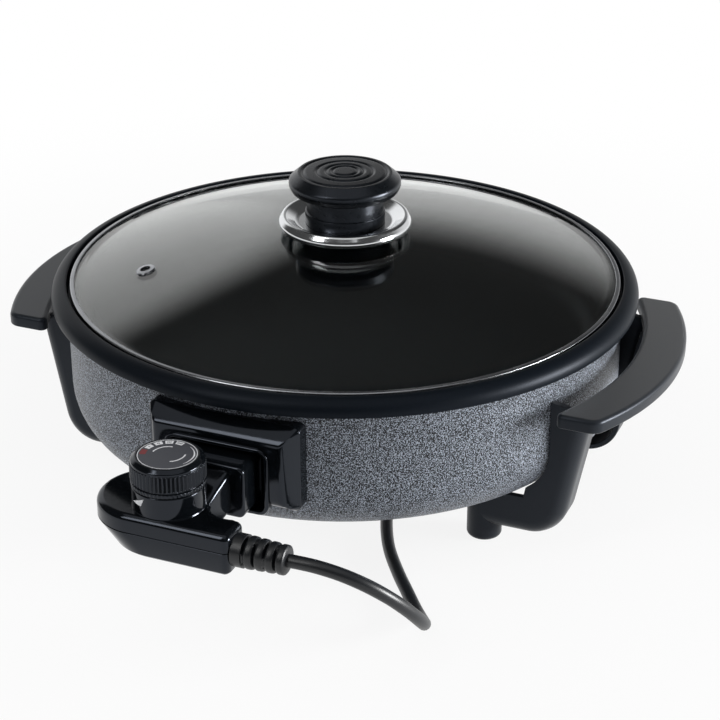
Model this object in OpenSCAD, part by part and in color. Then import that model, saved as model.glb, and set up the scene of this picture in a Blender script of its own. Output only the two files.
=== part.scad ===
// Electric pizza pan: a shallow cast pan in a hammered-finish shell, a glass lid that lifts off,
// two handle mouldings that are also the legs, and a plug-in thermostat with its mains lead.
// Millimetres. The table is at z = 0, the socket faces -Y and the right handle points to +X.
// Modules are drawn about the pan's axis, and in_frame() sets them over the middle of the footprint.

/* [Pan] */
// Outer radius of the rim collar
rim_r = 180; // [176:1:190]
// Height of the collar's outer edge above the table
rim_z = 121; // [119:1:127]
// Rise of the collar from its outer edge to its crest
collar_rise = 8.3; // [7:0.1:9.5]
// Width of the collar from its outer edge to its crest
collar_w = 8.5; // [7:0.5:10]
// Height of the upright edge below the collar's curve
collar_edge = 1.5; // [1:0.1:2]
// Depth of the lid seat below the collar's crest
seat_depth = 6.2; // [6:0.1:8]
// Thickness of the lid seat
seat_t = 4; // [3.5:0.1:5]
// Height of the cooking floor above the table
floor_z = 81; // [78:0.5:87]
// Thickness of the cooking floor
floor_t = 5; // [4:0.5:6]
// Thickness of the pan's wall
pan_wall = 3.5; // [3:0.5:4.5]
// Radius of the inside corner between floor and wall
pan_fillet = 14; // [8:1:18]
// How far the pan's wall leans in from seat to floor
pan_draft = 4; // [2:0.5:6]

/* [Outer shell] */
// How far the shell's wall stands in from the rim
shell_inset = 9.5; // [8:0.5:12]
// Thickness of the shell
shell_t = 1.8; // [1.2:0.2:2.4]
// Radius of the shell's lower corner
shell_corner = 30; // [24:1:31]
// Height of the shell's underside above the table
underside_z = 37; // [34:1:40]
// Air gap between the pan's wall and the shell
air_gap = 2.2; // [1:0.2:4]

/* [Heater and socket] */
// How far the heating element's ring stands in from the rim
heater_in = 75; // [70:1:88]
// Radius of the element's tube
element_r = 4; // [3:0.25:4.5]
// Cover of cast metal over the element
element_cover = 1; // [0.5:0.25:2]
// Distance of each contact pin from the probe
pin_x = 17; // [15:0.5:19]
// Radius of the contact pins
pin_r = 2.5; // [2:0.1:3]
// Width of the socket's frame at the wall
socket_w = 92; // [88:1:98]
// Height of the socket's frame at the wall
socket_h = 52; // [48:1:56]
// Height of the socket frame's lower edge
socket_z = 60; // [57:1:63]
// How far the socket's front stands out from the shell
socket_reach = 12; // [10:0.5:16]
// Bevel round the socket's front
socket_bevel = 7; // [4:0.5:8]
// Width of the socket's opening
mouth_w = 58; // [57:1:64]
// Height of the socket's opening
mouth_h = 36; // [34:0.5:38]

/* [Handles] */
// Reach of the handles past the rim
handle_out = 31; // [26:1:40]
// Length of a handle plate from end to end
handle_len = 176; // [168:1:184]
// How far a handle's outer edge falls back at its ends
handle_crown = 23; // [18:1:28]
// Height of the handle plates above the table
handle_z = 103; // [100:1:107]
// Thickness of the handle plates
handle_t = 8; // [6:0.5:10]
// Gap between the collar's outline and the plates' inner edge
handle_gap = 4; // [3:0.5:7]
// Width of a leg seen from the front
leg_w = 21; // [18:0.5:22]
// Depth of a leg along the handle
leg_d = 24; // [20:1:28]
// Wall of the leg and rib mouldings
leg_t = 3.5; // [2.5:0.25:4]
// Lean of the legs
leg_lean = 11; // [8:1:13]
// Outer radius of the bend at a leg's foot
leg_bend = 23; // [22.5:0.5:25]
// Distance of the legs' outer faces from the middle along Y
leg_face = 70; // [66:1:74]
// How far the legs' bend stands in from the rim
leg_in = 13; // [11:1:15]
// Clear height under the legs' arms
leg_clear = 10; // [8:0.5:12]
// How far the foot posts stand in from the rim along X
post_in = 65; // [60:1:70]
// Radius of the foot posts
post_r = 10.5; // [9.5:0.25:11.5]

/* [Lid] */
// Play between the lid's steel band and the collar
lid_slack = 1.3; // [0.8:0.1:2]
// Thickness of the band's sheet
band_t = 0.9; // [0.6:0.1:1.2]
// Thickness of the glass
glass_t = 4; // [3.5:0.25:5]
// Height of the lid's dome above its flat edge
dome_rise = 28; // [25:1:36]
// Radius of the vent's place on the lid
vent_at = 123; // [110:1:130]
// Radius of the chrome saucer under the knob
saucer_r = 40.5; // [36:0.5:44]
// Rise of the saucer from its base to its rim
saucer_rise = 6; // [5:0.5:8]
// Radius of the lid knob
knob_r = 34; // [30:0.5:38]
// Radius of the lid knob's neck
neck_r = 24; // [21:0.5:26]
// Height of the lid knob above the glass
knob_h = 37.5; // [34:0.5:40]

/* [Controller] */
// Height of the controller's underside above the table
case_z = 57; // [56:0.5:59]
// Height of the controller's case
case_h = 24; // [22:0.5:26]
// Distance from the shell to the controller's front face
case_reach = 74; // [73:0.5:80]
// Radius of the case's round end
case_round = 28; // [27:0.5:29]
// Distance from the middle of the round end to the cord's end
case_len = 61; // [58:0.5:66]
// How far the underside is tucked in at the round end
case_tuck = 13; // [0:1:14]
// Wall of the case
case_wall = 2.5; // [2:0.25:3]
// Radius of the turret and the thermostat knob
turret_r = 20; // [18.5:0.25:21]
// Height of the turret
turret_h = 13; // [11:0.5:16]
// Height of the thermostat knob
dial_h = 16; // [14:0.5:18]
// Radius of the temperature probe
probe_r = 3.5; // [3:0.25:4]
// Reach of the probe past the controller's head
probe_len = 56; // [50:1:60]
// Number of ribs round the thermostat knob
rib_count = 36; // [24:1:48]

/* [Mains lead] */
// Diameter of the cord
cord_d = 7.5; // [6:0.5:8]
// Length of the strain relief
relief_len = 30; // [28:1:40]
// Turns in the coil
coil_turns = 2.25; // [2.25:1:3.25]

/* [Hidden] */
$fn = 96;

// Shared clearances: pieces fixed together, pieces that slide apart, and a running shaft
fit = 0.05;
slide = 0.4;
run = 0.08;
seat_gap = 0.2;
lap = 0.5;
deep = 400;

// Heights and radii of the pan
crest_z = rim_z + collar_rise;
crest_r = rim_r - collar_w;
seat_z = crest_z - seat_depth;
collar_under = seat_z - seat_t;
floor_under = floor_z - floor_t;
shell_r = rim_r - shell_inset;
shell_floor = underside_z + shell_t;
pan_out = shell_r - shell_t - air_gap;
pan_in = pan_out - pan_wall;
pan_round = pan_fillet + floor_t;
crest_round = 0.8;
seat_step = 1.5;
seat_r = crest_r - seat_step;

// Heater, terminals and probe share one height under the floor
element_z = floor_under - element_cover - element_r;
heater_r = rim_r - heater_in;
pad_w = 14;
cold_end = shell_r - 12;
cold_turn = asin(pin_x / heater_r);
cold_start = heater_r * cos(cold_turn);
bush_r = pin_r + 2.5;
earth_z = element_z + 12;
earth_r = 2;
back_wall = 3.5;
mouth_z = socket_z + mouth_h / 2 + 2;
socket_front = shell_r + socket_reach;
mouth_floor = shell_r + back_wall;
pin_tip = mouth_floor + 16;
well_r = probe_r + slide + 1.1;
socket_root = 10;
socket_edge = 2;
socket_round = 4;
mouth_lip = 2.5;
lip_out = 1.5;
screw_r = 1.6;
screw_grip = 5.5;
screw_head_t = 2;
socket_screw_turn = 12.5;
socket_mid = socket_z + socket_h / 2;

// Handles
bend_z = leg_clear + leg_bend;
bend_x = rim_r - leg_in - leg_bend;
post_x = rim_r - post_in;
post_y = leg_face - post_r;
handle_reach = rim_r + handle_out;
leg_round = 9;
shell_gap = 0.6;
post_round = 4;
plate_under = handle_z - handle_t;
plate_in = rim_r + handle_gap;
plate_half = handle_len / 2;
plate_arc = (plate_half * plate_half + handle_crown * handle_crown) / (2 * handle_crown);
plate_corner = 9;
plate_heel = 4;
plate_edge = 2.5;
lip_drop = 8;
arch_r = 90;
lip_half = 60;
boss_r = 8;
foot_screw_r = 2;
foot_head_r = 4;
foot_head_t = 3;
foot_head_z = 20;
foot_thread = 16;

// Lid
band_r = seat_r - lid_slack;
band_z = seat_z + seat_gap;
glass_z = band_z + band_t + fit;
glass_r = band_r - band_t - fit;
band_fold = 2;
band_lip = glass_r - band_fold;
dome_r = band_lip - 1.5;
dome_top = glass_z + glass_t + dome_rise;
dome_R = (dome_r * dome_r + dome_rise * dome_rise) / (2 * dome_rise);
dome_cz = dome_top - dome_R;
vent_turn = 216;
vent_tilt = asin(vent_at / dome_R);
vent_r = 4.2;
vent_wall = 1;
vent_brim = 2;
knob_bolt_r = 2.5;
bolt_head_r = 5.5;
bolt_head_t = 3;
bolt_grip = 15;
washer_r = 12;
washer_t = 2.7;
saucer_t = 1.2;
saucer_foot = 28;
saucer_z = dome_top + fit;
saucer_turn = 2 * atan(saucer_rise / (saucer_r - saucer_foot));
saucer_arc = saucer_rise / (1 - cos(saucer_turn));
knob_z = saucer_z + saucer_t + fit;
knob_top = dome_top + knob_h;
knob_rings = [0.225, 0.335, 0.5, 0.75];
knob_edge = 5;
foot_flare = 4.5;
head_t = 11;

// Controller: its head enters the socket, its case lies across the front
case_front = shell_r + case_reach;
case_top = case_z + case_h;
part_z = case_top - 0.43 * case_h;
case_cy = case_front - case_round;
case_back = case_cy - case_round;
case_left = -24.5;
case_right = case_left + case_len;
arm_w = 20.5;
arm_round = 4;
waist_r = 15;
case_hem = 2;
head_gap = 1.5;
head_face = mouth_floor + head_gap;
head_back = socket_front + 16;
head_w = mouth_w - 10;
head_h = mouth_h - 5;
neck_w = 22;
neck_flare = 10;
neck_wall = 4;
neck_round = 3;
turret_x = -8.5;
turret_fore = 6;
turret_y = case_cy + turret_fore;
turret_top = case_top + turret_h;
spindle_r = 4;
case_floor = case_z + case_wall;
spindle_low = case_floor + 5;
bracket_w = 24;
bracket_d = 19;
bracket_h = 11;
bracket_t = 1.5;
bracket_y = -case_front + 12;
blade_x = 8;
blade_w = 4;
blade_t = 0.5;
blade_len = 18;
contact_r = 1.6;
contact_t = 1.2;
skirt_t = 2;
groove_t = 1.2;
crown_r = 3;
rib_depth = 0.9;
dial_z = turret_top + lap;
dial_top = dial_z + dial_h;
label_r = turret_r - 3.7;
label_t = 0.8;
dial_cap = 4;
sleeve_t = 1.2;
sleeve_r = pin_r + slide + sleeve_t;
earth_sleeve_r = earth_r + slide + sleeve_t;
sleeve_back = pin_tip + 4;
probe_tip = head_face - probe_len;
probe_tail = head_back + 4;
cord_y = case_front - arm_w / 2;
cord_z = case_z + case_h / 2;
case_screw_r = 1.3;
case_head_r = 2.5;
case_head_t = 2;
case_post_r = 3.5;
screw_left = 2;
screw_back = 16;
screw_right = 9;
screw_front = 10;
screw_neck = 4;
screw_heel = 19.5;
case_screws_at = [[case_left + screw_left, -case_cy + screw_back],
  [case_right - screw_right, -case_front + screw_front], [screw_neck, -case_back - screw_heel]];

// Mains lead: route of the free stretch, then the coil behind the pan
cord_r = cord_d / 2;
tie_t = 1.2;
tie_w = 8;
tie_gap = 0.3;
coil_step = cord_d + 0.8;
coil_layer = cord_d + 0.7;
coil_low = cord_r + tie_gap + tie_t + 0.05;
coil_out = 48;
coil_at = [-18, 235];
coil_rings = 24;
coil_sides = 6;
cord_sides = 10;
coil_in = [coil_at[0] + coil_out, coil_at[1] - cord_d, coil_low];
coil_exit = [coil_at[0] - cord_d, coil_at[1] + coil_out, coil_low + coil_layer];
relief_x = case_right + relief_len;
relief_r = 9.2;
relief_taper = 1.1;
relief_root = 6;
relief_rib = 4.5;
relief_ribs = 4;
relief_link = 5;
cord_from = [relief_x, -cord_y, cord_z];
drop = [[0, 0, 0], [14.6, 0.3, -0.1], [28.7, 2.2, -2.9], [41.1, 6.7, -9.2], [50.5, 13.4, -18],
  [56.6, 21.7, -28.2], [59.7, 31.2, -38.9], [59.6, 41.7, -48.9], [56.2, 53.1, -57.3], [49.9, 65, -63],
  [41.7, 76.8, -65]];
route = concat([for (d = drop) cord_from + d], [
  [97.6, -142.9, 4], [85.9, -126.7, 4], [72, -105, 4], [61, -82, 4], [51.5, -56, 4], [43.5, -29, 4],
  [37.5, 0, 4], [33, 35, 4], [30.7, 70, 4], [30, 105, 4], [30, 140, 4], [30, 175, 4.4], [30, 205, 5],
  [coil_in[0], coil_in[1] - cord_d, coil_low], coil_in]);
plug_r = 18;
plug_z = plug_r + 0.4;
plug_at = -92;
plug_sleeve = 14;
plug_grip = 14;
plug_face = 53;
plug_pin_gap = 19;
plug_pin_r = 2.4;
plug_pin_len = 17;
tail = [
  coil_exit, coil_exit - [cord_d, 0, 0], [-45, 283, 15], [-62, 283, 17.6],
  [plug_at + cord_d, coil_exit[1], plug_z], [plug_at, coil_exit[1], plug_z]];

// Shared shapes
module in_frame() translate([0, (case_front - rim_r) / 2, 0]) children();

function arc(c, r, from, to, n = 8) =
  [for (i = [0:n]) c + r * [cos(from + (to - from) * i / n), sin(from + (to - from) * i / n)]];

function rounded_rect(w, h, r) = concat(
  arc([w / 2 - r, h / 2 - r], r, 0, 90), arc([r - w / 2, h / 2 - r], r, 90, 180),
  arc([r - w / 2, r - h / 2], r, 180, 270), arc([w / 2 - r, r - h / 2], r, 270, 360));

// A cylinder along -Y, between two distances from the pan's axis
module rod(x, z, r, from, to) translate([x, -from, z]) rotate([90, 0, 0]) cylinder(r = r, h = to - from);

// A slab facing -Y, between two distances from the pan's axis
module slab(z, from, to, outline) translate([0, -from, z]) rotate([90, 0, 0])
  linear_extrude(to - from) polygon(outline);

module at_posts() for (sx = [-1, 1], sy = [-1, 1]) translate([sx * post_x, sy * post_y, 0]) children();

function unit(v) = v / norm(v);

// A smooth curve through the points, with a number of steps in each span
function curve(p, steps) = let (last = len(p) - 1) concat([for (i = [0:last - 1], k = [0:steps - 1])
  let (t = k / steps, a = p[max(i - 1, 0)], b = p[i], c = p[i + 1], d = p[min(i + 2, last)])
  b + 0.5 * t * ((c - a) + t * ((2 * a - 5 * b + 4 * c - d) + t * (3 * b - a - 3 * c + d)))], [p[last]]);

// One tube swept along a path, with square ends
module tube(path, r, sides) {
  last = len(path) - 1;
  points = [for (i = [0:last]) let (
    along = unit(path[min(i + 1, last)] - path[max(i - 1, 0)]),
    across = unit(cross(along, [0, 0, 1])),
    up = cross(across, along))
    for (k = [0:sides - 1]) path[i] + r * (cos(360 * k / sides) * across + sin(360 * k / sides) * up)];
  walls = [for (i = [0:last - 1], k = [0:sides - 1])
    let (a = i * sides + k, b = i * sides + (k + 1) % sides)
    each [[a, b, b + sides], [a, b + sides, a + sides]]];
  ends = [[for (k = [sides - 1:-1:0]) k], [for (k = [0:sides - 1]) last * sides + k]];
  polyhedron(points, concat(ends, walls));
}

// Pan and shell
pan_profile = concat(
  [[0, floor_under]], arc([pan_out - pan_round, floor_under + pan_round], pan_round, -90, 0),
  [[pan_out, collar_under], [rim_r - collar_edge, collar_under], [rim_r, rim_z - collar_edge]],
  [for (t = [0:10:90]) [crest_r + collar_w * cos(t), rim_z + collar_rise * sin(t)]],
  [[crest_r - crest_round, crest_z - crest_round / 2], [seat_r, seat_z], [pan_in, seat_z]],
  arc([pan_in - pan_draft - pan_fillet, floor_z + pan_fillet], pan_fillet, 0, -90), [[0, floor_z]]);

// The element's ring and its two straight ends
module element(r) translate([0, 0, element_z]) {
  rotate([0, 0, cold_turn - 90]) rotate_extrude(angle = 360 - 2 * cold_turn)
    translate([heater_r, 0]) circle(r);
  for (s = [-1, 1]) {
    translate([s * pin_x, -cold_start, 0]) sphere(r);
    rod(s * pin_x, 0, r, cold_start, cold_end);
  }
}

module pan() color("#303133") difference() {
  union() {
    rotate_extrude() polygon(pan_profile);
    rotate_extrude() difference() {
      translate([heater_r - pad_w / 2, element_z]) square([pad_w, floor_under - element_z + lap]);
      translate([heater_r, element_z]) circle(element_r + fit);
    }
    at_posts() translate([0, 0, shell_floor]) cylinder(r = boss_r, h = floor_under - shell_floor + lap);
    translate([-pad_w / 2, -pan_out + pan_round, element_z])
      cube([pad_w, pan_out - pan_round - probe_tip + pad_w / 2, floor_under - element_z + lap]);
  }
  for (s = [-1, 1]) rod(s * pin_x, element_z, element_r + fit, cold_start, cold_end);
  rod(0, element_z, well_r + fit, probe_tip - lap, pan_out);
  at_posts() translate([0, 0, shell_floor - lap]) cylinder(r = foot_screw_r + fit, h = foot_thread + 4);
}

module outer_shell() color("#77787c") {
  corner = [shell_r - shell_corner, underside_z + shell_corner];
  difference() {
    rotate_extrude() polygon(concat([[0, underside_z]], arc(corner, shell_corner, -90, 0, 10),
      [[shell_r, collar_under], [shell_r - shell_t, collar_under]],
      arc(corner, shell_corner - shell_t, 0, -90, 10), [[0, shell_floor]]));
    translate([-pin_x - bush_r - lap, -shell_r - lap, element_z - bush_r - lap])
      cube([2 * (pin_x + bush_r + lap), shell_r / 2, earth_z - element_z + 2 * (bush_r + lap)]);
    at_posts() translate([0, 0, underside_z - lap])
      cylinder(r = foot_screw_r + slide, h = shell_t + 2 * lap);
    socket_screw_places() rod(0, socket_mid, screw_r + slide, shell_r / 2, shell_r + lap);
  }
}

// Heater, terminals and socket
module heating_element() color("#8a8d90") element(element_r);

module terminal_pins() color("#c9a85a") for (s = [-1, 1]) {
  rod(s * pin_x, element_z, pin_r, cold_end, pin_tip - pin_r);
  translate([s * pin_x, -pin_tip + pin_r, element_z]) sphere(pin_r);
}

module terminal_insulators() color("#e9e4d8") for (s = [-1, 1]) difference() {
  rod(s * pin_x, element_z, bush_r, cold_end, mouth_floor + 1);
  rod(s * pin_x, element_z, pin_r + fit, cold_end - lap, mouth_floor + 1 + lap);
}

module earth_pin() color("#b9bcc0") {
  rod(0, earth_z, earth_r, shell_r - shell_t, pin_tip - earth_r);
  translate([0, -pin_tip + earth_r, earth_z]) sphere(earth_r);
  rod(0, earth_z, earth_r + 2, shell_r - shell_t, shell_r - fit);
}

module probe_well() color("#9b9da0") difference() {
  rod(0, element_z, well_r, probe_tip - lap, mouth_floor);
  rod(0, element_z, probe_r + slide, probe_tip - lap - 1, mouth_floor + lap);
}

module socket_screw_places() for (s = [-1, 1]) rotate([0, 0, s * socket_screw_turn]) children();

module socket_housing() color("#0e0f11") difference() {
  union() {
    hull() {
      slab(socket_mid, shell_r - socket_root, shell_r + socket_edge,
        rounded_rect(socket_w, socket_h, socket_round));
      slab(socket_mid, shell_r, socket_front,
        rounded_rect(socket_w - 2 * socket_bevel, socket_h - 2 * socket_bevel, socket_round + 1));
    }
    slab(mouth_z, socket_front - lap, socket_front + lip_out,
      rounded_rect(mouth_w + 2 * mouth_lip, mouth_h + 2 * mouth_lip, socket_round + mouth_lip));
  }
  translate([0, 0, -lap]) cylinder(r = shell_r + fit, h = deep, $fn = 180);
  slab(mouth_z, mouth_floor, socket_front + lip_out + lap, rounded_rect(mouth_w, mouth_h, socket_round));
  for (s = [-1, 1]) rod(s * pin_x, element_z, bush_r + fit, shell_r / 2, socket_front);
  rod(0, earth_z, earth_r + fit, shell_r / 2, socket_front);
  rod(0, element_z, well_r + fit, shell_r / 2, socket_front);
  socket_screw_places() rod(0, socket_mid, screw_r + fit, shell_r / 2, shell_r + screw_grip + lap);
}

module socket_screws() color("#a9acb0") socket_screw_places() {
  rod(0, socket_mid, screw_r, shell_r - shell_t - lap, shell_r + screw_grip);
  rod(0, socket_mid, 2 * screw_r, shell_r - shell_t - screw_head_t, shell_r - shell_t - fit);
}

// Handles
function plate_outline(inset) = let (
  half = plate_half - inset,
  cx = handle_reach - plate_arc,
  r_out = plate_arc - inset,
  r_in = plate_in + inset,
  y_out = half - plate_corner + inset,
  y_in = half - plate_heel,
  a_out = asin(y_out / r_out),
  a_in = asin(y_in / r_in),
  corner = [cx + r_out * cos(a_out) - (plate_corner - inset), y_out],
  heel = [r_in * cos(a_in) + plate_heel, y_in],
  upper = concat(arc(corner, plate_corner - inset, a_out / 2, 90),
    arc(heel, plate_heel, 90, 180 - a_in / 2)))
  concat(arc([cx, 0], r_out, -a_out, a_out, 16), upper, arc([0, 0], r_in, a_in, -a_in, 16),
    [for (i = [len(upper) - 1:-1:0]) [upper[i][0], -upper[i][1]]]);

// Cross-section of a leg: a front wall and an outer wall with a round corner between them
module leg_section(trim = 0) {
  corner = [leg_bend - leg_round, leg_face - leg_round];
  back = leg_bend - leg_w + trim;
  edge = leg_face - leg_d + trim;
  polygon(concat([[back, leg_face - trim]], arc(corner, leg_round - trim, 90, 0),
    [[leg_bend - trim, edge], [leg_bend - leg_t + trim, edge]],
    arc(corner, leg_round - leg_t + trim, 0, 90), [[back, leg_face - leg_t + trim]]));
}

module leg() {
  bar = (plate_under + 1 - bend_z + leg_bend * sin(leg_lean)) / cos(leg_lean);
  translate([bend_x, 0, bend_z]) rotate([90, 0, 0]) {
    rotate([0, 0, -90]) rotate_extrude(angle = 90 - leg_lean) leg_section();
    rotate([0, 0, -leg_lean]) rotate([90, 0, 0]) translate([0, 0, -bar])
      linear_extrude(bar + lap) leg_section(fit);
    rotate([0, 0, -90]) rotate([90, 0, 0]) linear_extrude(bend_x - post_x) leg_section();
  }
}

// The shell's outline with a clearance, cut from the legs where they pass it
module shell_room() rotate_extrude() polygon(concat([[0, underside_z - shell_gap]],
  arc([shell_r - shell_corner, underside_z + shell_corner], shell_corner + shell_gap, -90, 0, 10),
  [[shell_r + shell_gap, rim_z], [0, rim_z]]));

module handle() difference() {
  union() {
    translate([0, 0, plate_under]) linear_extrude(handle_t - plate_edge) polygon(plate_outline(0));
    translate([0, 0, handle_z - plate_edge]) for (turn = [30, 60, 90])
      linear_extrude(plate_edge * sin(turn)) polygon(plate_outline(plate_edge * (1 - cos(turn))));
    for (s = [0, 1]) mirror([0, s, 0]) difference() {
      leg();
      shell_room();
    }
    difference() {
      rotate([0, 0, -asin(lip_half / plate_in)]) rotate_extrude(angle = 2 * asin(lip_half / plate_in))
        translate([plate_in + lap, bend_z + leg_bend]) square([leg_t, plate_under - bend_z - leg_bend + lap]);
      translate([0, 0, plate_under - lip_drop - arch_r]) rotate([0, 90, 0])
        cylinder(r = arch_r, h = deep, $fn = 180);
    }
    for (s = [-1, 1]) translate([post_x, s * post_y, 0]) rotate_extrude()
      polygon(concat([[0, 0]], arc([post_r - post_round, post_round], post_round, -90, 0),
        [[post_r, underside_z], [0, underside_z]]));
  }
  for (s = [-1, 1]) translate([post_x, s * post_y, -lap]) {
    cylinder(r = foot_screw_r + slide, h = deep);
    cylinder(r = foot_head_r + slide, h = foot_head_z + lap);
  }
}

module handle_right() color("#232427") handle();

module handle_left() color("#232427") mirror([1, 0, 0]) handle();

module handle_screws() color("#a9acb0") at_posts() {
  translate([0, 0, foot_head_z - foot_head_t]) cylinder(r = foot_head_r, h = foot_head_t);
  translate([0, 0, foot_head_z - lap])
    cylinder(r = foot_screw_r, h = shell_floor + foot_thread - foot_head_z);
}

// Lid
module at_vent() rotate([0, 0, vent_turn]) translate([0, 0, dome_cz]) rotate([0, vent_tilt, 0])
  translate([0, 0, dome_R]) children();

module lid_glass() color("#b9c4c8", 0.4) difference() {
  union() {
    intersection() {
      translate([0, 0, dome_cz]) sphere(dome_R, $fn = 180);
      translate([0, 0, glass_z]) cylinder(r = dome_r, h = deep);
    }
    translate([0, 0, glass_z]) cylinder(r = glass_r, h = glass_t);
  }
  translate([0, 0, dome_cz]) sphere(dome_R - glass_t, $fn = 180);
  cylinder(r = knob_bolt_r + slide, h = deep);
  at_vent() translate([0, 0, -2 * glass_t]) cylinder(r = vent_r + fit, h = 3 * glass_t);
}

module lid_rim_band() color("#c6c9cc") {
  high = glass_z + glass_t + fit;
  low = band_z + band_t;
  rotate_extrude() polygon([[band_lip, band_z], [band_r, band_z], [band_r, high + band_t],
    [band_lip, high + band_t], [band_lip, high], [glass_r + fit, high],
    [glass_r + fit, low], [band_lip, low]]);
}

module vent_eyelet() color("#c6c9cc") at_vent() rotate_extrude() {
  polygon([[vent_r - vent_wall, -glass_t - lap], [vent_r, -glass_t - lap], [vent_r, fit],
    [vent_r + vent_brim, fit], [vent_r + vent_brim - 0.6, vent_wall], [vent_r - vent_wall, vent_wall + 0.2]]);
}

module knob_saucer() color("#d5d8da") rotate_extrude() {
  centre = [saucer_foot, saucer_z + saucer_arc];
  polygon(concat([[knob_bolt_r + slide, saucer_z]], arc(centre, saucer_arc, -90, saucer_turn - 90, 10),
    arc(centre, saucer_arc - saucer_t, saucer_turn - 90, -90, 10),
    [[knob_bolt_r + slide, saucer_z + saucer_t]]));
}

module lid_knob() color("#17181a") difference() {
  rotate_extrude() polygon(concat([[0, knob_z], [saucer_foot - 1, knob_z], [neck_r + 3, knob_z + foot_flare]],
    [[neck_r, knob_z + 8], [neck_r, knob_top - head_t - 6], [knob_r - 3, knob_top - head_t]],
    arc([knob_r - knob_edge, knob_top - knob_edge - 1], knob_edge, -50, 75),
    [[knob_r - knob_edge - 1, knob_top - 0.8], [0, knob_top]]));
  translate([0, 0, knob_top]) for (r = knob_rings)
    rotate_extrude() translate([knob_r * r, -0.2]) circle(0.7, $fn = 24);
  translate([0, 0, knob_z - lap]) cylinder(r = knob_bolt_r + fit, h = bolt_grip + 3);
}

module knob_screw() color("#b9bcc0") {
  washer_z = dome_top - glass_t - bolt_head_t;
  translate([0, 0, washer_z - bolt_head_t]) cylinder(r = bolt_head_r, h = bolt_head_t - fit);
  translate([0, 0, washer_z - 1]) cylinder(r = knob_bolt_r, h = knob_z + bolt_grip - washer_z + 1);
}

module knob_washer() color("#2c2c2e") translate([0, 0, dome_top - glass_t - bolt_head_t]) difference() {
  cylinder(r = washer_r, h = washer_t);
  translate([0, 0, -lap]) cylinder(r = knob_bolt_r + fit, h = washer_t + 2 * lap);
}

// Controller
function case_outline(inset, tuck = 0) = let (arm = -case_front + arm_w) concat(
  arc([case_left + tuck, -case_cy], case_round - inset, 90, 270, 20),
  arc([case_right - arm_round, arm_round - case_front], arm_round - inset, 270, 360, 5),
  arc([case_right - arm_round, arm - arm_round], arm_round - inset, 0, 90, 5));

// Round edge of the case: inset of the outline at each height below the top
edge_steps = [[0, 3.6], [0.6, 1.8], [1.7, 0.6], [3.4, 0]];

// The hollow between the cord's arm and the neck
module case_waist(r) translate([neck_w / 2 + waist_r, -case_front + arm_w + waist_r, 0])
  cylinder(r = r, h = deep);

module case_body() {
  difference() {
    hull() {
      translate([0, 0, case_z]) linear_extrude(fit) polygon(case_outline(case_hem, case_tuck));
      translate([0, 0, case_z + case_hem]) linear_extrude(fit) polygon(case_outline(0, case_tuck - case_hem));
      translate([0, 0, part_z]) linear_extrude(fit) polygon(case_outline(0));
      for (e = edge_steps) translate([0, 0, case_top - e[1] - fit])
        linear_extrude(fit) polygon(case_outline(e[0]));
    }
    case_waist(waist_r);
  }
  hull() {
    slab(cord_z, case_back, case_cy, rounded_rect(neck_w, case_h - 1, neck_round));
    slab(mouth_z, head_back - lap, head_back, rounded_rect(neck_w + neck_flare, head_h - 6, neck_round));
  }
  slab(mouth_z, head_face, head_back, rounded_rect(head_w, head_h, socket_round));
  translate([turret_x, -turret_y, case_top - lap]) cylinder(r = turret_r, h = turret_h + lap);
}

module case_room() {
  difference() {
    hull() {
      translate([0, 0, case_floor]) linear_extrude(fit) polygon(case_outline(case_wall, case_tuck));
      translate([0, 0, part_z]) linear_extrude(case_top - case_wall - part_z)
        polygon(case_outline(case_wall));
    }
    case_waist(waist_r + case_wall);
  }
  slab(cord_z, head_back - 6, case_cy, rounded_rect(neck_w - 2 * neck_wall, case_h - 2 * case_wall - 2, 2));
  translate([turret_x, -turret_y, case_z + case_wall])
    cylinder(r = turret_r - case_wall, h = turret_top - case_z - 2 * case_wall - 1);
}

module case_bores() {
  for (s = [-1, 1]) rod(s * pin_x, element_z, sleeve_r + fit, head_face - lap, sleeve_back + lap);
  rod(0, earth_z, earth_sleeve_r + fit, head_face - lap, sleeve_back + lap);
  rod(0, element_z, probe_r + fit, head_face - lap, probe_tail);
  translate([turret_x, -turret_y, 0]) cylinder(r = spindle_r + run, h = deep);
}

module half_space(from) translate([-deep / 2, -deep, from]) cube([deep, deep, deep]);

module case_posts(r, from, to) for (p = case_screws_at)
  translate([p[0], p[1], from]) cylinder(r = r, h = to - from);

module controller_case_upper() color("#101113") difference() {
  union() {
    difference() {
      intersection() {
        case_body();
        half_space(part_z);
      }
      case_room();
    }
    case_posts(case_post_r, part_z, case_top - case_wall + lap);
  }
  case_bores();
  case_posts(case_screw_r + fit, part_z - lap, case_top - case_wall - 1);
}

module controller_case_lower() color("#101113") difference() {
  union() {
    difference() {
      intersection() {
        case_body();
        translate([0, 0, -deep]) half_space(part_z);
      }
      case_room();
    }
    case_posts(case_post_r, case_z + case_wall - lap, part_z);
  }
  difference() {
    case_bores();
    translate([turret_x, -turret_y, 0]) cylinder(r = spindle_r + 1, h = case_z + case_wall);
  }
  case_posts(case_screw_r + slide, case_z - lap, part_z + lap);
  case_posts(case_head_r + slide, case_z - lap, case_z + case_head_t + 1);
}

module case_screws() color("#a9acb0") {
  case_posts(case_head_r, case_z + 1, case_z + case_head_t + 1 - fit);
  case_posts(case_screw_r, case_z + 2, case_top - case_wall - 2);
}

module sensor_probe() color("#b4b6b9") {
  translate([0, -probe_tip - probe_r, element_z]) sphere(probe_r);
  rod(0, element_z, probe_r, probe_tip + probe_r, probe_tail - fit);
}

module contact_sleeves() color("#c9a85a") for (s = [-1, 1]) difference() {
  rod(s * pin_x, element_z, sleeve_r, head_face + 1, sleeve_back);
  rod(s * pin_x, element_z, pin_r + slide, head_face - lap, pin_tip + 1);
}

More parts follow.
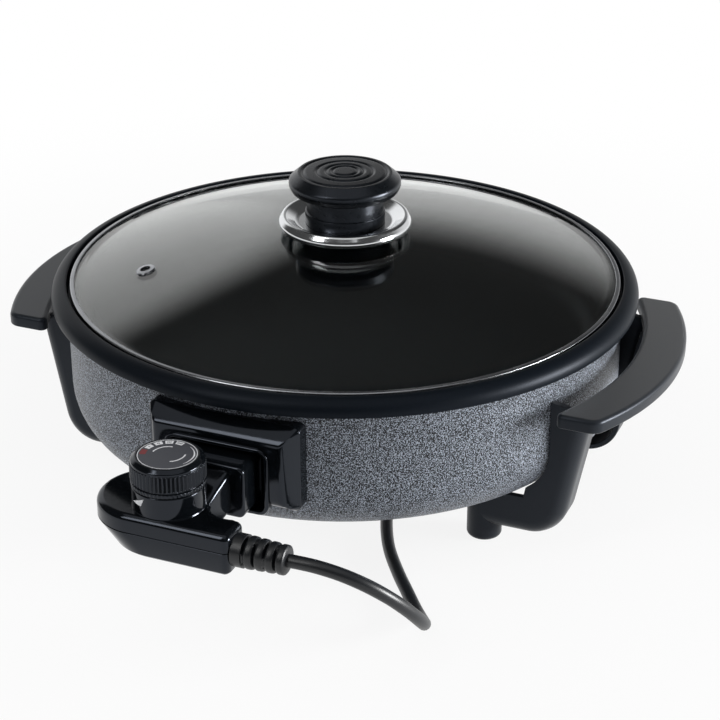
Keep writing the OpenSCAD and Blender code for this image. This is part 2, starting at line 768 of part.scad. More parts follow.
module earth_sleeve() color("#c9a85a") difference() {
  rod(0, earth_z, earth_sleeve_r, head_face + 1, sleeve_back);
  rod(0, earth_z, earth_r + slide, head_face - lap, pin_tip + 1);
}

// Steel base of the thermostat, on the lower case's floor, with an upright that carries the blades
module thermostat_bracket() color("#8f9296") {
  translate([turret_x - bracket_w / 2, bracket_y, case_floor]) {
    cube([bracket_w, bracket_d, bracket_t]);
    cube([bracket_w, bracket_t, bracket_h]);
  }
  translate([turret_x, -turret_y, case_floor]) cylinder(r = spindle_r, h = spindle_low - case_floor - lap);
}

module contact_blades() color("#c9a85a") for (s = [-1, 1]) {
  translate([turret_x + s * blade_x, bracket_y + bracket_t + fit, case_floor + bracket_h - 3]) {
    translate([-blade_w / 2, 0, 0]) cube([blade_w, blade_len, blade_t]);
    translate([0, blade_len - blade_w / 2, blade_t - fit]) cylinder(r = contact_r, h = contact_t);
  }
}

function ribbed(r, depth) = [for (i = [0:4 * rib_count - 1])
  (r - depth * (0.5 - 0.5 * cos(90 * i))) * [cos(90 * i / rib_count), sin(90 * i / rib_count)]];

module control_knob() color("#141517") translate([turret_x, -turret_y, dial_z]) difference() {
  union() {
    cylinder(r = turret_r + lap, h = skirt_t);
    translate([0, 0, skirt_t - lap]) cylinder(r = turret_r - lap, h = groove_t + lap);
    translate([0, 0, skirt_t + groove_t - lap])
      linear_extrude(dial_h - skirt_t - groove_t - crown_r + lap) polygon(ribbed(turret_r + 0.7, rib_depth));
    translate([0, 0, dial_h - crown_r]) rotate_extrude() polygon(concat([[0, -lap], [turret_r, -lap]],
      arc([turret_r - crown_r, 0], crown_r, 0, 60), [[label_r + fit, crown_r], [0, crown_r]]));
  }
  translate([0, 0, dial_h - label_t]) cylinder(r = label_r + fit, h = label_t + lap);
  translate([0, 0, -lap]) cylinder(r = spindle_r + fit, h = dial_h - dial_cap + 2 * lap);
}

module dial_plate() color("#3a3c40") translate([turret_x, -turret_y, dial_top - label_t])
  cylinder(r = label_r, h = label_t - fit);

module knob_spindle() color("#b4b6b9") translate([turret_x, -turret_y, spindle_low])
  cylinder(r = spindle_r, h = dial_top - dial_cap - spindle_low);

// Mains lead
module strain_relief() color("#141517") translate([case_right, -cord_y, cord_z]) rotate([0, 90, 0]) {
  pitch = (relief_len - relief_root) / relief_ribs;
  cylinder(r = relief_r, h = relief_root);
  cylinder(r = cord_r + 1.6, h = relief_len);
  for (k = [1:relief_ribs]) let (r = relief_r - relief_taper * k / relief_ribs, z = relief_root + k * pitch) {
    translate([0, 0, z - relief_rib]) cylinder(r1 = r + relief_taper / relief_ribs, r2 = r, h = relief_rib);
    rotate([0, 0, 90 * k]) translate([lap - r, -relief_link / 2, z - pitch - lap])
      cube([2 * (r - lap), relief_link, pitch - relief_rib + 2 * lap]);
  }
}

module cord() color("#141416") tube(curve(route, 2), cord_r, cord_sides);

// The coil spirals in on the table, climbs a layer in half a turn, and spirals out on top
function ease(t) = let (u = max(0, min(1, t))) u * u * (3 - 2 * u);
function coil_point(t) = let (r = coil_out - coil_step * min(t, coil_turns - t))
  [coil_at[0] + r * cos(360 * t), coil_at[1] + r * sin(360 * t),
    coil_low + coil_layer * ease(2 * (t - coil_turns / 2) + 0.5)];
coil_count = coil_turns * coil_rings;
coil_path = concat([coil_in], [for (i = [0:coil_count]) coil_point(i / coil_rings)], [coil_exit]);
coil_gap = min([for (i = [0:len(coil_path) - 1]) for (j = [i + 12:1:len(coil_path) - 1])
  norm(coil_path[i] - coil_path[j])]) - cord_d;
echo(coil_self_gap = coil_gap);

module cord_coil() color("#141416") tube(coil_path, cord_r, coil_sides);

module cord_tail() color("#141416") tube(curve(tail, 2), cord_r, cord_sides);

module cord_tie() color("#2a2a2c") {
  far = coil_point(0.5);
  near = coil_point(coil_turns - 0.75);
  low = [far[0] - cord_r - tie_gap, coil_low - cord_r - tie_gap];
  size = [near[0] - far[0] + 2 * (cord_r + tie_gap), coil_layer + 2 * (cord_r + tie_gap)];
  translate([low[0], coil_at[1] - tie_w / 2, low[1]]) difference() {
    translate([-tie_t, 0, -tie_t]) cube([size[0] + 2 * tie_t, tie_w, size[1] + 2 * tie_t]);
    translate([0, -lap, 0]) cube([size[0], tie_w + 2 * lap, size[1]]);
  }
}

module at_plug() translate([plug_at, coil_exit[1], plug_z]) rotate([0, -90, 0]) children();

module plug_body() color("#141416") at_plug() rotate_extrude() polygon([[0, 0], [cord_r + 1.5, 0],
  [cord_r + 2.5, plug_sleeve], [plug_grip - 3, plug_sleeve + 6], [plug_grip, plug_face - 19],
  [plug_r - 1, plug_face - 15], [plug_r, plug_face - 14], [plug_r, plug_face - 1], [plug_r - 1.5, plug_face],
  [0, plug_face]]);

module plug_pins() color("#c6c9cc") at_plug() translate([0, 0, plug_face + fit])
  for (s = [-1, 1]) translate([0, s * plug_pin_gap / 2, 0]) {
    cylinder(r = plug_pin_r, h = plug_pin_len);
    translate([0, 0, plug_pin_len]) sphere(plug_pin_r);
  }

in_frame() pan();
in_frame() outer_shell();
in_frame() heating_element();
in_frame() terminal_pins();
in_frame() terminal_insulators();
in_frame() earth_pin();
in_frame() probe_well();
in_frame() socket_housing();
in_frame() socket_screws();
in_frame() handle_left();
in_frame() handle_right();
in_frame() handle_screws();
in_frame() lid_glass();
in_frame() lid_rim_band();
in_frame() vent_eyelet();
in_frame() knob_saucer();
in_frame() lid_knob();
in_frame() knob_screw();
in_frame() knob_washer();
in_frame() controller_case_upper();
in_frame() controller_case_lower();
in_frame() case_screws();
in_frame() sensor_probe();
in_frame() contact_sleeves();
in_frame() earth_sleeve();
in_frame() thermostat_bracket();
in_frame() contact_blades();
in_frame() control_knob();
in_frame() dial_plate();
in_frame() knob_spindle();
in_frame() strain_relief();
in_frame() cord();
in_frame() cord_coil();
in_frame() cord_tail();
in_frame() cord_tie();
in_frame() plug_body();
in_frame() plug_pins();
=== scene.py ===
import bmesh
import bpy
import numpy as np
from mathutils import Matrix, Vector


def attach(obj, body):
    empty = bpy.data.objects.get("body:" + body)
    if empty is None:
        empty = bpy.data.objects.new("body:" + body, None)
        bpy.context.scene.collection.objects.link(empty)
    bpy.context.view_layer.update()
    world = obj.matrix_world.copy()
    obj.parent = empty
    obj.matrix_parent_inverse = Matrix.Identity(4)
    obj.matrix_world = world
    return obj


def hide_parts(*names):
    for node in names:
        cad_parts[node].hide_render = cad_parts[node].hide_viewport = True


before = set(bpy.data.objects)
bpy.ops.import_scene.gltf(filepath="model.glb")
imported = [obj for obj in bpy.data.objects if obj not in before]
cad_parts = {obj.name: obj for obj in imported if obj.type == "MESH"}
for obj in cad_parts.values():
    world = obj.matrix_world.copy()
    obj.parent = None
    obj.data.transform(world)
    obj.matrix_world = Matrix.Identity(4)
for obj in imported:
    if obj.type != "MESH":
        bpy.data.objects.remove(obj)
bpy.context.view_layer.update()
axisY = 32.25  # mm from the frame's origin back to the pan's axis

# camera at the photograph's angle
shot = {"stand": (0.4408, -1.00905, 0.6221), "look": (-0.34324, 0.82932, -0.44092), "lens": 100.0,
        "sensor": 36.0, "near": 0.05, "far": 60.0}
lensData = bpy.data.cameras.new("photoView")
lensData.lens = shot["lens"]
lensData.sensor_width = shot["sensor"]
lensData.clip_start = shot["near"]
lensData.clip_end = shot["far"]
camera = bpy.data.objects.new("photoView", lensData)
bpy.context.collection.objects.link(camera)
camera.location = shot["stand"]
camera.rotation_mode = "QUATERNION"
camera.rotation_quaternion = Vector(shot["look"]).to_track_quat("-Z", "Y")
bpy.context.scene.camera = camera


# colours and nodes
def ink(code):
    # sRGB hex to linear colour
    c = np.array([int(code[i:i + 2], 16) for i in (1, 3, 5)]) / 255.0
    return tuple(np.where(c <= 0.04045, c / 12.92, ((c + 0.055) / 1.055) ** 2.4)) + (1.0,)


def perMm(size):
    # texture scale for a pattern of this size in mm, on Object coordinates in metres
    return 1000.0 / size


def addNode(tree, kind, settings=None, sockets=None):
    # one node; a socket given another node's output is linked, any other value is set
    node = tree.nodes.new(kind)
    for key, value in (settings or {}).items():
        setattr(node, key, value)
    for key, value in (sockets or {}).items():
        if isinstance(value, bpy.types.NodeSocket):
            tree.links.new(value, node.inputs[key])
        else:
            node.inputs[key].default_value = value
    return node


def newFinish(name, sockets):
    # a material with one Principled shader and its fixed values
    finish = bpy.data.materials.new(name)
    finish.use_nodes = True
    tree = finish.node_tree
    tree.nodes.clear()
    shader = addNode(tree, "ShaderNodeBsdfPrincipled", sockets=sockets)
    addNode(tree, "ShaderNodeOutputMaterial", sockets={"Surface": shader.outputs[0]})
    here = addNode(tree, "ShaderNodeTexCoord").outputs["Object"]
    return finish, tree, shader, here


def noiseAt(tree, here, size, detail, more=None):
    # cloudy noise from 0 to 1 with lumps of this size in mm
    sockets = {"Vector": here, "Scale": perMm(size), "Detail": detail}
    return addNode(tree, "ShaderNodeTexNoise", None, {**sockets, **(more or {})}).outputs["Fac"]


def tintBetween(tree, shader, share, low, high):
    # base colour that goes from one ink to another with the share
    tone = addNode(tree, "ShaderNodeMix", {"data_type": "RGBA"}, {0: share, 6: ink(low), 7: ink(high)})
    tree.links.new(tone.outputs[2], shader.inputs["Base Color"])


def roughBetween(tree, shader, share, sleek, dull):
    # roughness over the middle of a noise, where most of it lies
    rough = addNode(tree, "ShaderNodeMapRange", None, {0: share, 1: 0.3, 2: 0.7, 3: sleek, 4: dull})
    tree.links.new(rough.outputs[0], shader.inputs["Roughness"])


def bumpFrom(tree, shader, height, strength, deep):
    # surface relief of a depth in metres
    skin = addNode(tree, "ShaderNodeBump", None, {"Strength": strength, "Distance": deep, "Height": height})
    tree.links.new(skin.outputs["Normal"], shader.inputs["Normal"])


coldTint = ink("#e3edff")  # the black mouldings and coats mirror a little blue

# hammered paint over steel: pale flakes pulled into cells with dark pits between them, slightly metallic
hammered = {"cell": 0.8, "worm": 0.57, "pull": -0.12, "inks": ("#06080b", "#30353c", "#949ba6"),
            "stops": (0.37, 0.45, 0.56), "relief": 0.35}
hammeredPaint, tree, shader, here = newFinish("hammeredPaint", {
    "Metallic": 0.4, "Roughness": 0.42, "IOR": 1.5})
worms = noiseAt(tree, here, hammered["worm"], detail=0.0, more={"Distortion": 0.2})
cells = addNode(tree, "ShaderNodeTexVoronoi", {"feature": "SMOOTH_F1"},
                {"Vector": here, "Scale": perMm(hammered["cell"]), "Smoothness": 0.4})
blend = addNode(tree, "ShaderNodeMath", {"operation": "MULTIPLY_ADD"},
                {0: cells.outputs["Distance"], 1: hammered["pull"], 2: worms}).outputs[0]
paint = addNode(tree, "ShaderNodeValToRGB", None, {"Fac": blend})
paint.color_ramp.elements.new(hammered["stops"][1])
for stop, place, code in zip(paint.color_ramp.elements, hammered["stops"], hammered["inks"]):
    stop.position = place
    stop.color = ink(code)
tree.links.new(paint.outputs["Color"], shader.inputs["Base Color"])
bumpFrom(tree, shader, blend, strength=hammered["relief"], deep=0.0005)

# non-stick coat on cast aluminium: charcoal, half matt, with a fine orange peel and grey flecks
nonStick = {"peel": 1.4, "fleck": 0.9, "base": "#06090d", "light": "#0e1319"}
nonStickCoat, tree, shader, here = newFinish("nonStickCoat", {
    "Roughness": 0.40, "IOR": 1.45, "Specular IOR Level": 0.13, "Specular Tint": coldTint})
fleck = noiseAt(tree, here, nonStick["fleck"], detail=3.0)
tintBetween(tree, shader, fleck, nonStick["base"], nonStick["light"])
bumpFrom(tree, shader, noiseAt(tree, here, nonStick["peel"], detail=2.0), strength=0.10, deep=0.0003)

# moulded phenolic with a spark-eroded grain: near black, matt, slightly paler on the grain's tops
grain = {"pit": 0.8, "base": "#0f1216", "top": "#191d22"}
mattPhenolic, tree, shader, here = newFinish("mattPhenolic", {
    "Roughness": 0.38, "IOR": 1.52, "Specular IOR Level": 0.22, "Specular Tint": coldTint,
    "Sheen Weight": 0.25, "Sheen Roughness": 0.4})
pits = noiseAt(tree, here, grain["pit"], detail=2.5, more={"Roughness": 0.6})
tintBetween(tree, shader, pits, grain["base"], grain["top"])
bumpFrom(tree, shader, pits, strength=0.16, deep=0.0002)

# polished phenolic: black, with a slow flow unevenness from moulding; glossy on controller and socket,
# satin on the lid's knob
polish = {"flow": 14.0, "haze": 3.0, "base": "#040608", "cloud": "#090b0e"}
polished = {}
for name, sleek, dull in (("glossPhenolic", 0.08, 0.13), ("satinPhenolic", 0.26, 0.34)):
    polished[name], tree, shader, here = newFinish(name, {
        "IOR": 1.5, "Specular IOR Level": 0.40, "Specular Tint": coldTint})
    haze = noiseAt(tree, here, polish["haze"], detail=4.0)
    tintBetween(tree, shader, haze, polish["base"], polish["cloud"])
    roughBetween(tree, shader, haze, sleek, dull)
    bumpFrom(tree, shader, noiseAt(tree, here, polish["flow"], detail=1.0), strength=0.05, deep=0.0006)
glossPhenolic = polished["glossPhenolic"]
satinPhenolic = polished["satinPhenolic"]

# tempered soda glass: clear, a trace of green, slow roller waves
pane = {"wave": 60.0, "tint": "#f2f7f5"}
lidGlass, tree, shader, here = newFinish("temperedGlass", {
    "Base Color": ink(pane["tint"]), "Roughness": 0.0, "IOR": 1.5, "Transmission Weight": 1.0})
bumpFrom(tree, shader, noiseAt(tree, here, pane["wave"], detail=0.0), strength=0.02, deep=0.0010)

# rolled stainless band: bright, with fine lines along the roll
rolled = {"line": 0.5, "along": 25.0, "tint": "#9b9da1"}
bandSteel, tree, shader, here = newFinish("rolledStainless", {
    "Base Color": ink(rolled["tint"]), "Metallic": 1.0})
stretch = (perMm(rolled["along"]), perMm(rolled["along"]), perMm(rolled["line"]))
lines = addNode(tree, "ShaderNodeMapping", None, {"Vector": here, "Scale": stretch}).outputs[0]
streak = addNode(tree, "ShaderNodeTexNoise", None, {"Vector": lines, "Scale": 1.0, "Detail": 3.0})
roughBetween(tree, shader, streak.outputs["Fac"], sleek=0.16, dull=0.32)

# chrome plate: mirror bright with faint polishing haze
plated = {"haze": 5.0, "tint": "#dfe1e3"}
saucerChrome, tree, shader, here = newFinish("chromePlate", {
    "Base Color": ink(plated["tint"]), "Metallic": 1.0})
roughBetween(tree, shader, noiseAt(tree, here, plated["haze"], detail=4.0), sleek=0.10, dull=0.18)

# zinc-plated steel: dull silver with a soft mottle
zinc = {"mottle": 4.0, "tint": "#a9acb0"}
zincSteel, tree, shader, here = newFinish("zincPlatedSteel", {
    "Base Color": ink(zinc["tint"]), "Metallic": 1.0})
roughBetween(tree, shader, noiseAt(tree, here, zinc["mottle"], detail=3.0), sleek=0.26, dull=0.44)

# drawn brass contacts: warm yellow metal, lightly tarnished
tarnish = {"patch": 3.0, "dull": "#b8934a", "clean": "#d3b268"}
contactBrass, tree, shader, here = newFinish("drawnBrass", {"Metallic": 1.0, "Roughness": 0.28})
patch = noiseAt(tree, here, tarnish["patch"], detail=3.0)
tintBetween(tree, shader, patch, tarnish["dull"], tarnish["clean"])

# glazed steatite bushes: cream ceramic with fine specks
glaze = {"speck": 0.7, "dark": "#d8d2c2", "pale": "#efeadd"}
steatite, tree, shader, here = newFinish("glazedSteatite", {"Roughness": 0.35, "IOR": 1.6})
tintBetween(tree, shader, noiseAt(tree, here, glaze["speck"], detail=2.0), glaze["dark"], glaze["pale"])

# extruded PVC sheath: black, with a soft sheen and a fine grain
sheath = {"skin": 0.6, "base": "#0b0d10", "worn": "#14171b"}
cordPvc, tree, shader, here = newFinish("extrudedPvc", {"Roughness": 0.38, "IOR": 1.5})
skinNoise = noiseAt(tree, here, sheath["skin"], detail=3.0)
tintBetween(tree, shader, skinNoise, sheath["base"], sheath["worn"])
bumpFrom(tree, shader, skinNoise, strength=0.08, deep=0.0002)

# screen-printed dial foil, dark grey and satin; pad-printed inks, a chalky white and a dull red;
# the white also makes a painted highlight ring at the dial face's edge
foil = {"mist": 0.4, "dark": "#2c2e34", "pale": "#3c3e45"}
dialFoil, tree, shader, here = newFinish("printedFoil", {"Roughness": 0.35, "IOR": 1.5})
tintBetween(tree, shader, noiseAt(tree, here, foil["mist"], detail=2.0), foil["dark"], foil["pale"])
padPrint = {"mist": 0.5, "white": ("#b9babd", "#dcdde0"), "red": ("#5a2326", "#7a2f31")}
whiteInkAndHighlight, tree, shader, here = newFinish("padPrintWhiteAndHighlight", {"Roughness": 0.55})
tintBetween(tree, shader, noiseAt(tree, here, padPrint["mist"], detail=2.0), *padPrint["white"])
redInk, tree, shader, here = newFinish("padPrintRed", {"Roughness": 0.5})
tintBetween(tree, shader, noiseAt(tree, here, padPrint["mist"], detail=2.0), *padPrint["red"])
print("finishes:", len(bpy.data.materials))


# shapes: a shell is points in mm about the pan's axis, four-sided faces, and faces of more sides
def inFrame(points):
    # mm about the pan's axis to metres in the frame
    return (np.asarray(points, float) + (0.0, axisY, 0.0)) * 0.001


def gridShell(points, around=True, over=False, caps=False):
    # rows x cols of points; around joins each row's ends, over joins first row to last, caps fill those two
    rows, cols = points.shape[:2]
    rowSteps = np.arange(rows if over else rows - 1)
    colSteps = np.arange(cols if around else cols - 1)
    i, j = np.meshgrid(rowSteps, colSteps, indexing="ij")
    k, m = (i + 1) % rows, (j + 1) % cols
    quads = np.stack([i * cols + j, i * cols + m, k * cols + m, k * cols + j], -1).reshape(-1, 4)
    ring = np.arange(cols)
    ends = [ring[::-1].tolist(), (ring + (rows - 1) * cols).tolist()] if caps else []
    return points.reshape(-1, 3), quads, ends


def makePiece(name, shells, finish, body, nodes=(), crease=38.0):
    # one mesh from its shells: poles and seams merged, faces turned out, edges over the crease angle sharp
    starts = np.cumsum([0] + [len(s[0]) for s in shells])
    points = np.concatenate([s[0] for s in shells])
    faces = np.concatenate([s[1] + start for s, start in zip(shells, starts)]).tolist()
    faces += [(np.array(end) + start).tolist() for s, start in zip(shells, starts) for end in s[2]]
    mesh = bpy.data.meshes.new(name)
    mesh.from_pydata(inFrame(points).tolist(), [], faces)
    work = bmesh.new()
    work.from_mesh(mesh)
    bmesh.ops.remove_doubles(work, verts=work.verts, dist=2e-6)
    bmesh.ops.recalc_face_normals(work, faces=work.faces)
    work.to_mesh(mesh)
    work.free()
    mesh.shade_smooth()
    mesh.set_sharp_from_angle(angle=np.radians(crease))
    mesh.materials.append(finish)
    piece = bpy.data.objects.new(name, mesh)
    bpy.context.collection.objects.link(piece)
    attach(piece, body)
    if nodes:
        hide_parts(*nodes)
    return piece


arcShare = 0.46  # most of a side that an arc at one of its ends may take
guardOut = 1.06  # guard points stand this much further from the corner than the arc's ends


def rounded(corners, steps=6, closed=False):
    # corners (a, b, radius): each gives way to an arc that touches both its sides,
    # with a guard point past each end of the arc
    c = np.asarray(corners, float)
    out = []
    for i, (a, b, r) in enumerate(c):
        p = np.array([a, b])
        if r <= 0 or (not closed and i in (0, len(c) - 1)):
            out.append(p[None])
            continue
        u, v = c[i - 1, :2] - p, c[(i + 1) % len(c), :2] - p
        lengthU, lengthV = np.linalg.norm(u), np.linalg.norm(v)
        u, v = u / lengthU, v / lengthV
        half = np.arccos(np.clip(u @ v, -1.0, 1.0)) / 2
        cut = min(r / np.tan(half), arcShare * lengthU, arcShare * lengthV)
        r = cut * np.tan(half)
        centre = p + (u + v) / np.linalg.norm(u + v) * r / np.sin(half)
        sweep = np.pi - 2 * half
        t = np.linspace(0, 1, steps + 1)[:, None]
        fromU, fromV = p + u * cut - centre, p + v * cut - centre
        arc = centre + (np.sin((1 - t) * sweep) * fromU + np.sin(t * sweep) * fromV) / np.sin(sweep)
        out.append(np.vstack([p + u * cut * guardOut, arc, p + v * cut * guardOut]))
    return np.concatenate(out)


def ease(share):
    # smooth step from 0 to 1
    share = np.clip(share, 0, 1)
    return share ** 2 * (3 - 2 * share)


def arcLine(centre, r, start, stop, count):
    # points on a circle between two angles in degrees
    a = np.radians(np.linspace(start, stop, count))
    return np.stack([centre[0] + r * np.cos(a), centre[1] + r * np.sin(a)], -1)


def turned(profile, sectors, centre=(0.0, 0.0), over=False):
    # each profile point (radius, height) carried round an upright axis
    p = np.asarray(profile, float)[:, None]
    a = np.linspace(0, 2 * np.pi, sectors, endpoint=False)[None]
    x, y = centre[0] + p[..., 0] * np.cos(a), centre[1] + p[..., 0] * np.sin(a)
    return gridShell(np.stack([x, y, p[..., 1] + 0 * a], -1), over=over)


def insetLine(outline, depth):
    # a closed outline moved inwards along its normals
    ahead, behind = np.roll(outline, -1, 0), np.roll(outline, 1, 0)
    t = ahead - behind
    t /= np.linalg.norm(t, axis=1, keepdims=True)
    area = np.sum(outline[:, 0] * ahead[:, 1] - ahead[:, 0] * outline[:, 1])
    return outline + depth * np.sign(area) * np.stack([-t[:, 1], t[:, 0]], -1)


def layered(layers, facing="up"):
    # outlines with a height each, as rows; front ones look towards -Y,
    # with the height as their distance from the axis
    points = np.stack([np.column_stack([o, np.broadcast_to(h, len(o))]) for o, h in layers])
    if facing == "front":
        points = np.stack([points[..., 0], -points[..., 2], points[..., 1]], -1)
    return points


def stacked(layers, facing="up"):
    # closed shell over the layers
    return gridShell(layered(layers, facing), caps=True)


def slabRows(low, top, edges, flats):
    # (inset, height) rows of a slab whose two rims are quarter rounds, with a row on each flat face
    lowEdge, topEdge = edges
    q = np.radians(np.linspace(0, 90, 8))
    rows = [(lowEdge + flats[0], low), (lowEdge, low)]
    rows += list(zip(lowEdge * (1 - np.sin(q[2:])), low + lowEdge * (1 - np.cos(q[2:]))))
    rows += list(zip(topEdge * (1 - np.cos(q)), top - topEdge * (1 - np.sin(q))))
    return rows + [(topEdge + flats[1], top)]


def rectLine(w, h, r, count=24, steps=10):
    # rounded rectangle with evenly divided sides
    quarters = ((1, 1, 0), (-1, 1, 90), (-1, -1, 180), (1, -1, 270))
    arcs = [arcLine((sx * (w / 2 - r), sz * (h / 2 - r)), r, q, q + 90, steps) for sx, sz, q in quarters]
    sides = [np.linspace(arcs[i][-1], arcs[(i + 1) % 4][0], count)[1:-1] for i in range(4)]
    return np.vstack([x for pair in zip(arcs, sides) for x in pair])


def smoothLine(points, steps):
    # Catmull-Rom curve through the points
    p = np.asarray(points, float)
    q = np.vstack([p[:1], p, p[-1:]])[:, None]
    a, b, c, d = q[:-3], q[1:-2], q[2:-1], q[3:]
    t = (np.arange(steps) / steps)[None, :, None]
    line = b + 0.5 * t * ((c - a) + t * ((2 * a - 5 * b + 4 * c - d) + t * (3 * b - a - 3 * c + d)))
    return np.vstack([line.reshape(-1, 3), p[-1:]])


def sweptTube(path, r, sides):
    # a circle carried along the path, square to it
    t = np.gradient(path, axis=0)
    t /= np.linalg.norm(t, axis=1, keepdims=True)
    side = np.cross(t, (0.0, 0.0, 1.0))
    side /= np.linalg.norm(side, axis=1, keepdims=True)
    top = np.cross(side, t)
    a = np.linspace(0, 2 * np.pi, sides, endpoint=False)[None, :, None]
    return gridShell(path[:, None] + r * (np.cos(a) * side[:, None] + np.sin(a) * top[:, None]), caps=True)


# mains lead: out of the strain relief, down in one bend, under the pan, then a flat coil behind it
lead = {"diameter": 7.5, "sides": 16, "start": (66.5, -234.25, 69.0), "steps": 5,
        "drop": [(0, 0, 0), (14.6, 0.3, -0.1), (28.7, 2.2, -2.9), (41.1, 6.7, -9.2), (50.5, 13.4, -18),
                 (56.6, 21.7, -28.2), (59.7, 31.2, -38.9), (59.6, 41.7, -48.9), (56.2, 53.1, -57.3),
                 (49.9, 65, -63), (41.7, 76.8, -65)],
        "run": [(97.6, -142.9, 4), (85.9, -126.7, 4), (72, -105, 4), (61, -82, 4), (51.5, -56, 4),
                (43.5, -29, 4), (37.5, 0, 4), (33, 35, 4), (30.7, 70, 4), (30, 105, 4), (30, 140, 4),
                (30, 175, 4.4), (30, 205, 5), (30, 220, 5.3), (30, 227.5, 5.3)],
        "coilAt": (-18.0, 235.0), "coilOut": 48.0, "coilStep": 8.3, "coilLow": 5.3, "coilLayer": 8.2,
        "turns": 2.25, "coilPoints": 91,
        "tail": [(-25.5, 283, 13.5), (-33, 283, 13.5), (-45, 283, 15), (-62, 283, 17.6), (-84.5, 283, 18.4),
                 (-92, 283, 18.4)]}
freeRun = smoothLine(np.vstack([np.array(lead["start"]) + lead["drop"], lead["run"]]), lead["steps"])
turn = np.linspace(0, lead["turns"], lead["coilPoints"])
coilR = lead["coilOut"] - lead["coilStep"] * np.minimum(turn, lead["turns"] - turn)
coilX = lead["coilAt"][0] + coilR * np.cos(2 * np.pi * turn)
coilY = lead["coilAt"][1] + coilR * np.sin(2 * np.pi * turn)
coilZ = lead["coilLow"] + lead["coilLayer"] * ease(2 * (turn - lead["turns"] / 2) + 0.5)
leadPath = np.vstack([freeRun, np.stack([coilX, coilY, coilZ], -1), smoothLine(lead["tail"], lead["steps"])])
leadShell = sweptTube(leadPath, lead["diameter"] / 2, lead["sides"])
cordPiece = makePiece("mainsCord", [leadShell], cordPvc, "controller", ("cord", "cord_coil", "cord_tail"))

# plug: a moulded body turned about its own axis, with a waisted grip, lying along -X
plug = {"at": (-92.0, 283.0, 18.4), "gripFrom": 21.0, "gripLong": 13.0, "gripDeep": 0.45, "sectors": 72,
        "profile": [(0, 0, 0), (5.2, 0, 0.6), (6.2, 14, 3), (11, 20, 4), (14, 34, 6), (17.6, 38.5, 2),
                    (18, 52, 1), (16.5, 53, 0.8), (0, 53, 0)]}
plugLine = rounded(plug["profile"])
gripTurn = np.pi * (plugLine[:, 1] - plug["gripFrom"]) / plug["gripLong"]
plugLine[:, 0] -= plug["gripDeep"] * np.clip(np.sin(gripTurn), 0, 1)
upright, plugQuads, plugEnds = turned(plugLine, plug["sectors"])
plugShell = (np.array(plug["at"]) + upright[:, [2, 0, 1]] * (-1, 1, 1), plugQuads, plugEnds)
plugPiece = makePiece("plugBody", [plugShell], cordPvc, "controller", ("plug_body",))

# strain relief: along x, round ribs with slots between them; in a slot a core and one straight link are left
relief = {"from": 36.5, "y": -234.25, "z": 69.0, "long": 30.0, "r": 9.2, "taper": 1.1, "root": 6.0,
          "rib": 4.5, "ribs": 4, "crown": 0.7, "link": 2.5, "core": 5.35, "slotEdge": 0.5, "slotLeast": 0.4,
          "endLong": 1.0, "endDrop": 0.9, "samples": 145, "sectors": 96}
s = np.linspace(0, relief["long"], relief["samples"])[:, None]
a = np.linspace(0, 2 * np.pi, relief["sectors"], endpoint=False)[None]
ribbed = relief["long"] - relief["root"]
pitch = ribbed / relief["ribs"]
pastRoot = s - relief["root"]
taperR = relief["r"] - relief["taper"] * np.clip(pastRoot / ribbed, 0, 1)
rib = np.floor(np.clip(pastRoot / pitch, 0, relief["ribs"] - 1e-6))
inPitch = pastRoot - rib * pitch
slotLong = pitch - relief["rib"]
slotDepth = np.clip(np.minimum(inPitch, slotLong - inPitch) / relief["slotEdge"], 0, 1)
linkTurn = np.where(rib % 2 == 0, np.sin(a), np.cos(a))
linkR = relief["link"] / np.maximum(np.abs(linkTurn), 1e-3)
slotR = np.clip(linkR, relief["core"], taperR - relief["slotLeast"])
ribMid = np.clip((inPitch - slotLong) / relief["rib"], 0, 1)
crownR = taperR - relief["crown"] * np.abs(2 * ribMid - 1) ** 4
reliefR = np.where(pastRoot < 0, taperR, crownR + slotDepth * (slotR - crownR))
endShare = np.clip((s - relief["long"] + relief["endLong"]) / relief["endLong"], 0, 1)
reliefR = reliefR - relief["endDrop"] * endShare ** 2
reliefY = relief["y"] + reliefR * np.cos(a)
reliefZ = relief["z"] + reliefR * np.sin(a)
reliefShell = gridShell(np.stack([relief["from"] + s + 0 * a, reliefY, reliefZ], -1), caps=True)
makePiece("strainRelief", [reliefShell], cordPvc, "controller", ("strain_relief",))

# pan: one casting, a floor, a leaning wall, a lid seat and a convex collar
pan = {"rim": 180.0, "rimZ": 121.0, "crest": 171.5, "crestZ": 129.3, "seat": 170.0, "seatZ": 123.1,
       "wall": 163.0, "foot": 159.0, "floor": 81.0, "bowl": 14.0, "under": 76.0, "out": 166.5, "belly": 19.0,
       "collarUnder": 119.1, "collarTurn": (-6.0, 90.0), "sectors": 240}
t = np.radians(np.linspace(*pan["collarTurn"], 22))
collarR = pan["crest"] + (pan["rim"] - pan["crest"]) * np.cos(t)
collarZ = pan["rimZ"] + (pan["crestZ"] - pan["rimZ"]) * np.sin(t)
below = rounded([(0, pan["under"], 0), (pan["out"], pan["under"], pan["belly"]),
                 (pan["out"], pan["collarUnder"], 0.5), (pan["rim"] - 1.6, pan["collarUnder"], 0.6),
                 (pan["rim"] - 0.1, pan["collarUnder"] + 0.6, 0)])
within = rounded([(pan["crest"] - 0.1, pan["crestZ"], 0), (pan["seat"] + 0.6, pan["crestZ"] - 0.2, 0.5),
                  (pan["seat"], pan["seatZ"], 0.8), (pan["wall"], pan["seatZ"], 1.2),
                  (pan["foot"], pan["floor"], pan["bowl"]), (0, pan["floor"], 0)], 10)
panLine = np.vstack([below, np.stack([collarR, collarZ], -1), within])
makePiece("castPan", [turned(panLine, pan["sectors"])], nonStickCoat, "base", ("pan",))

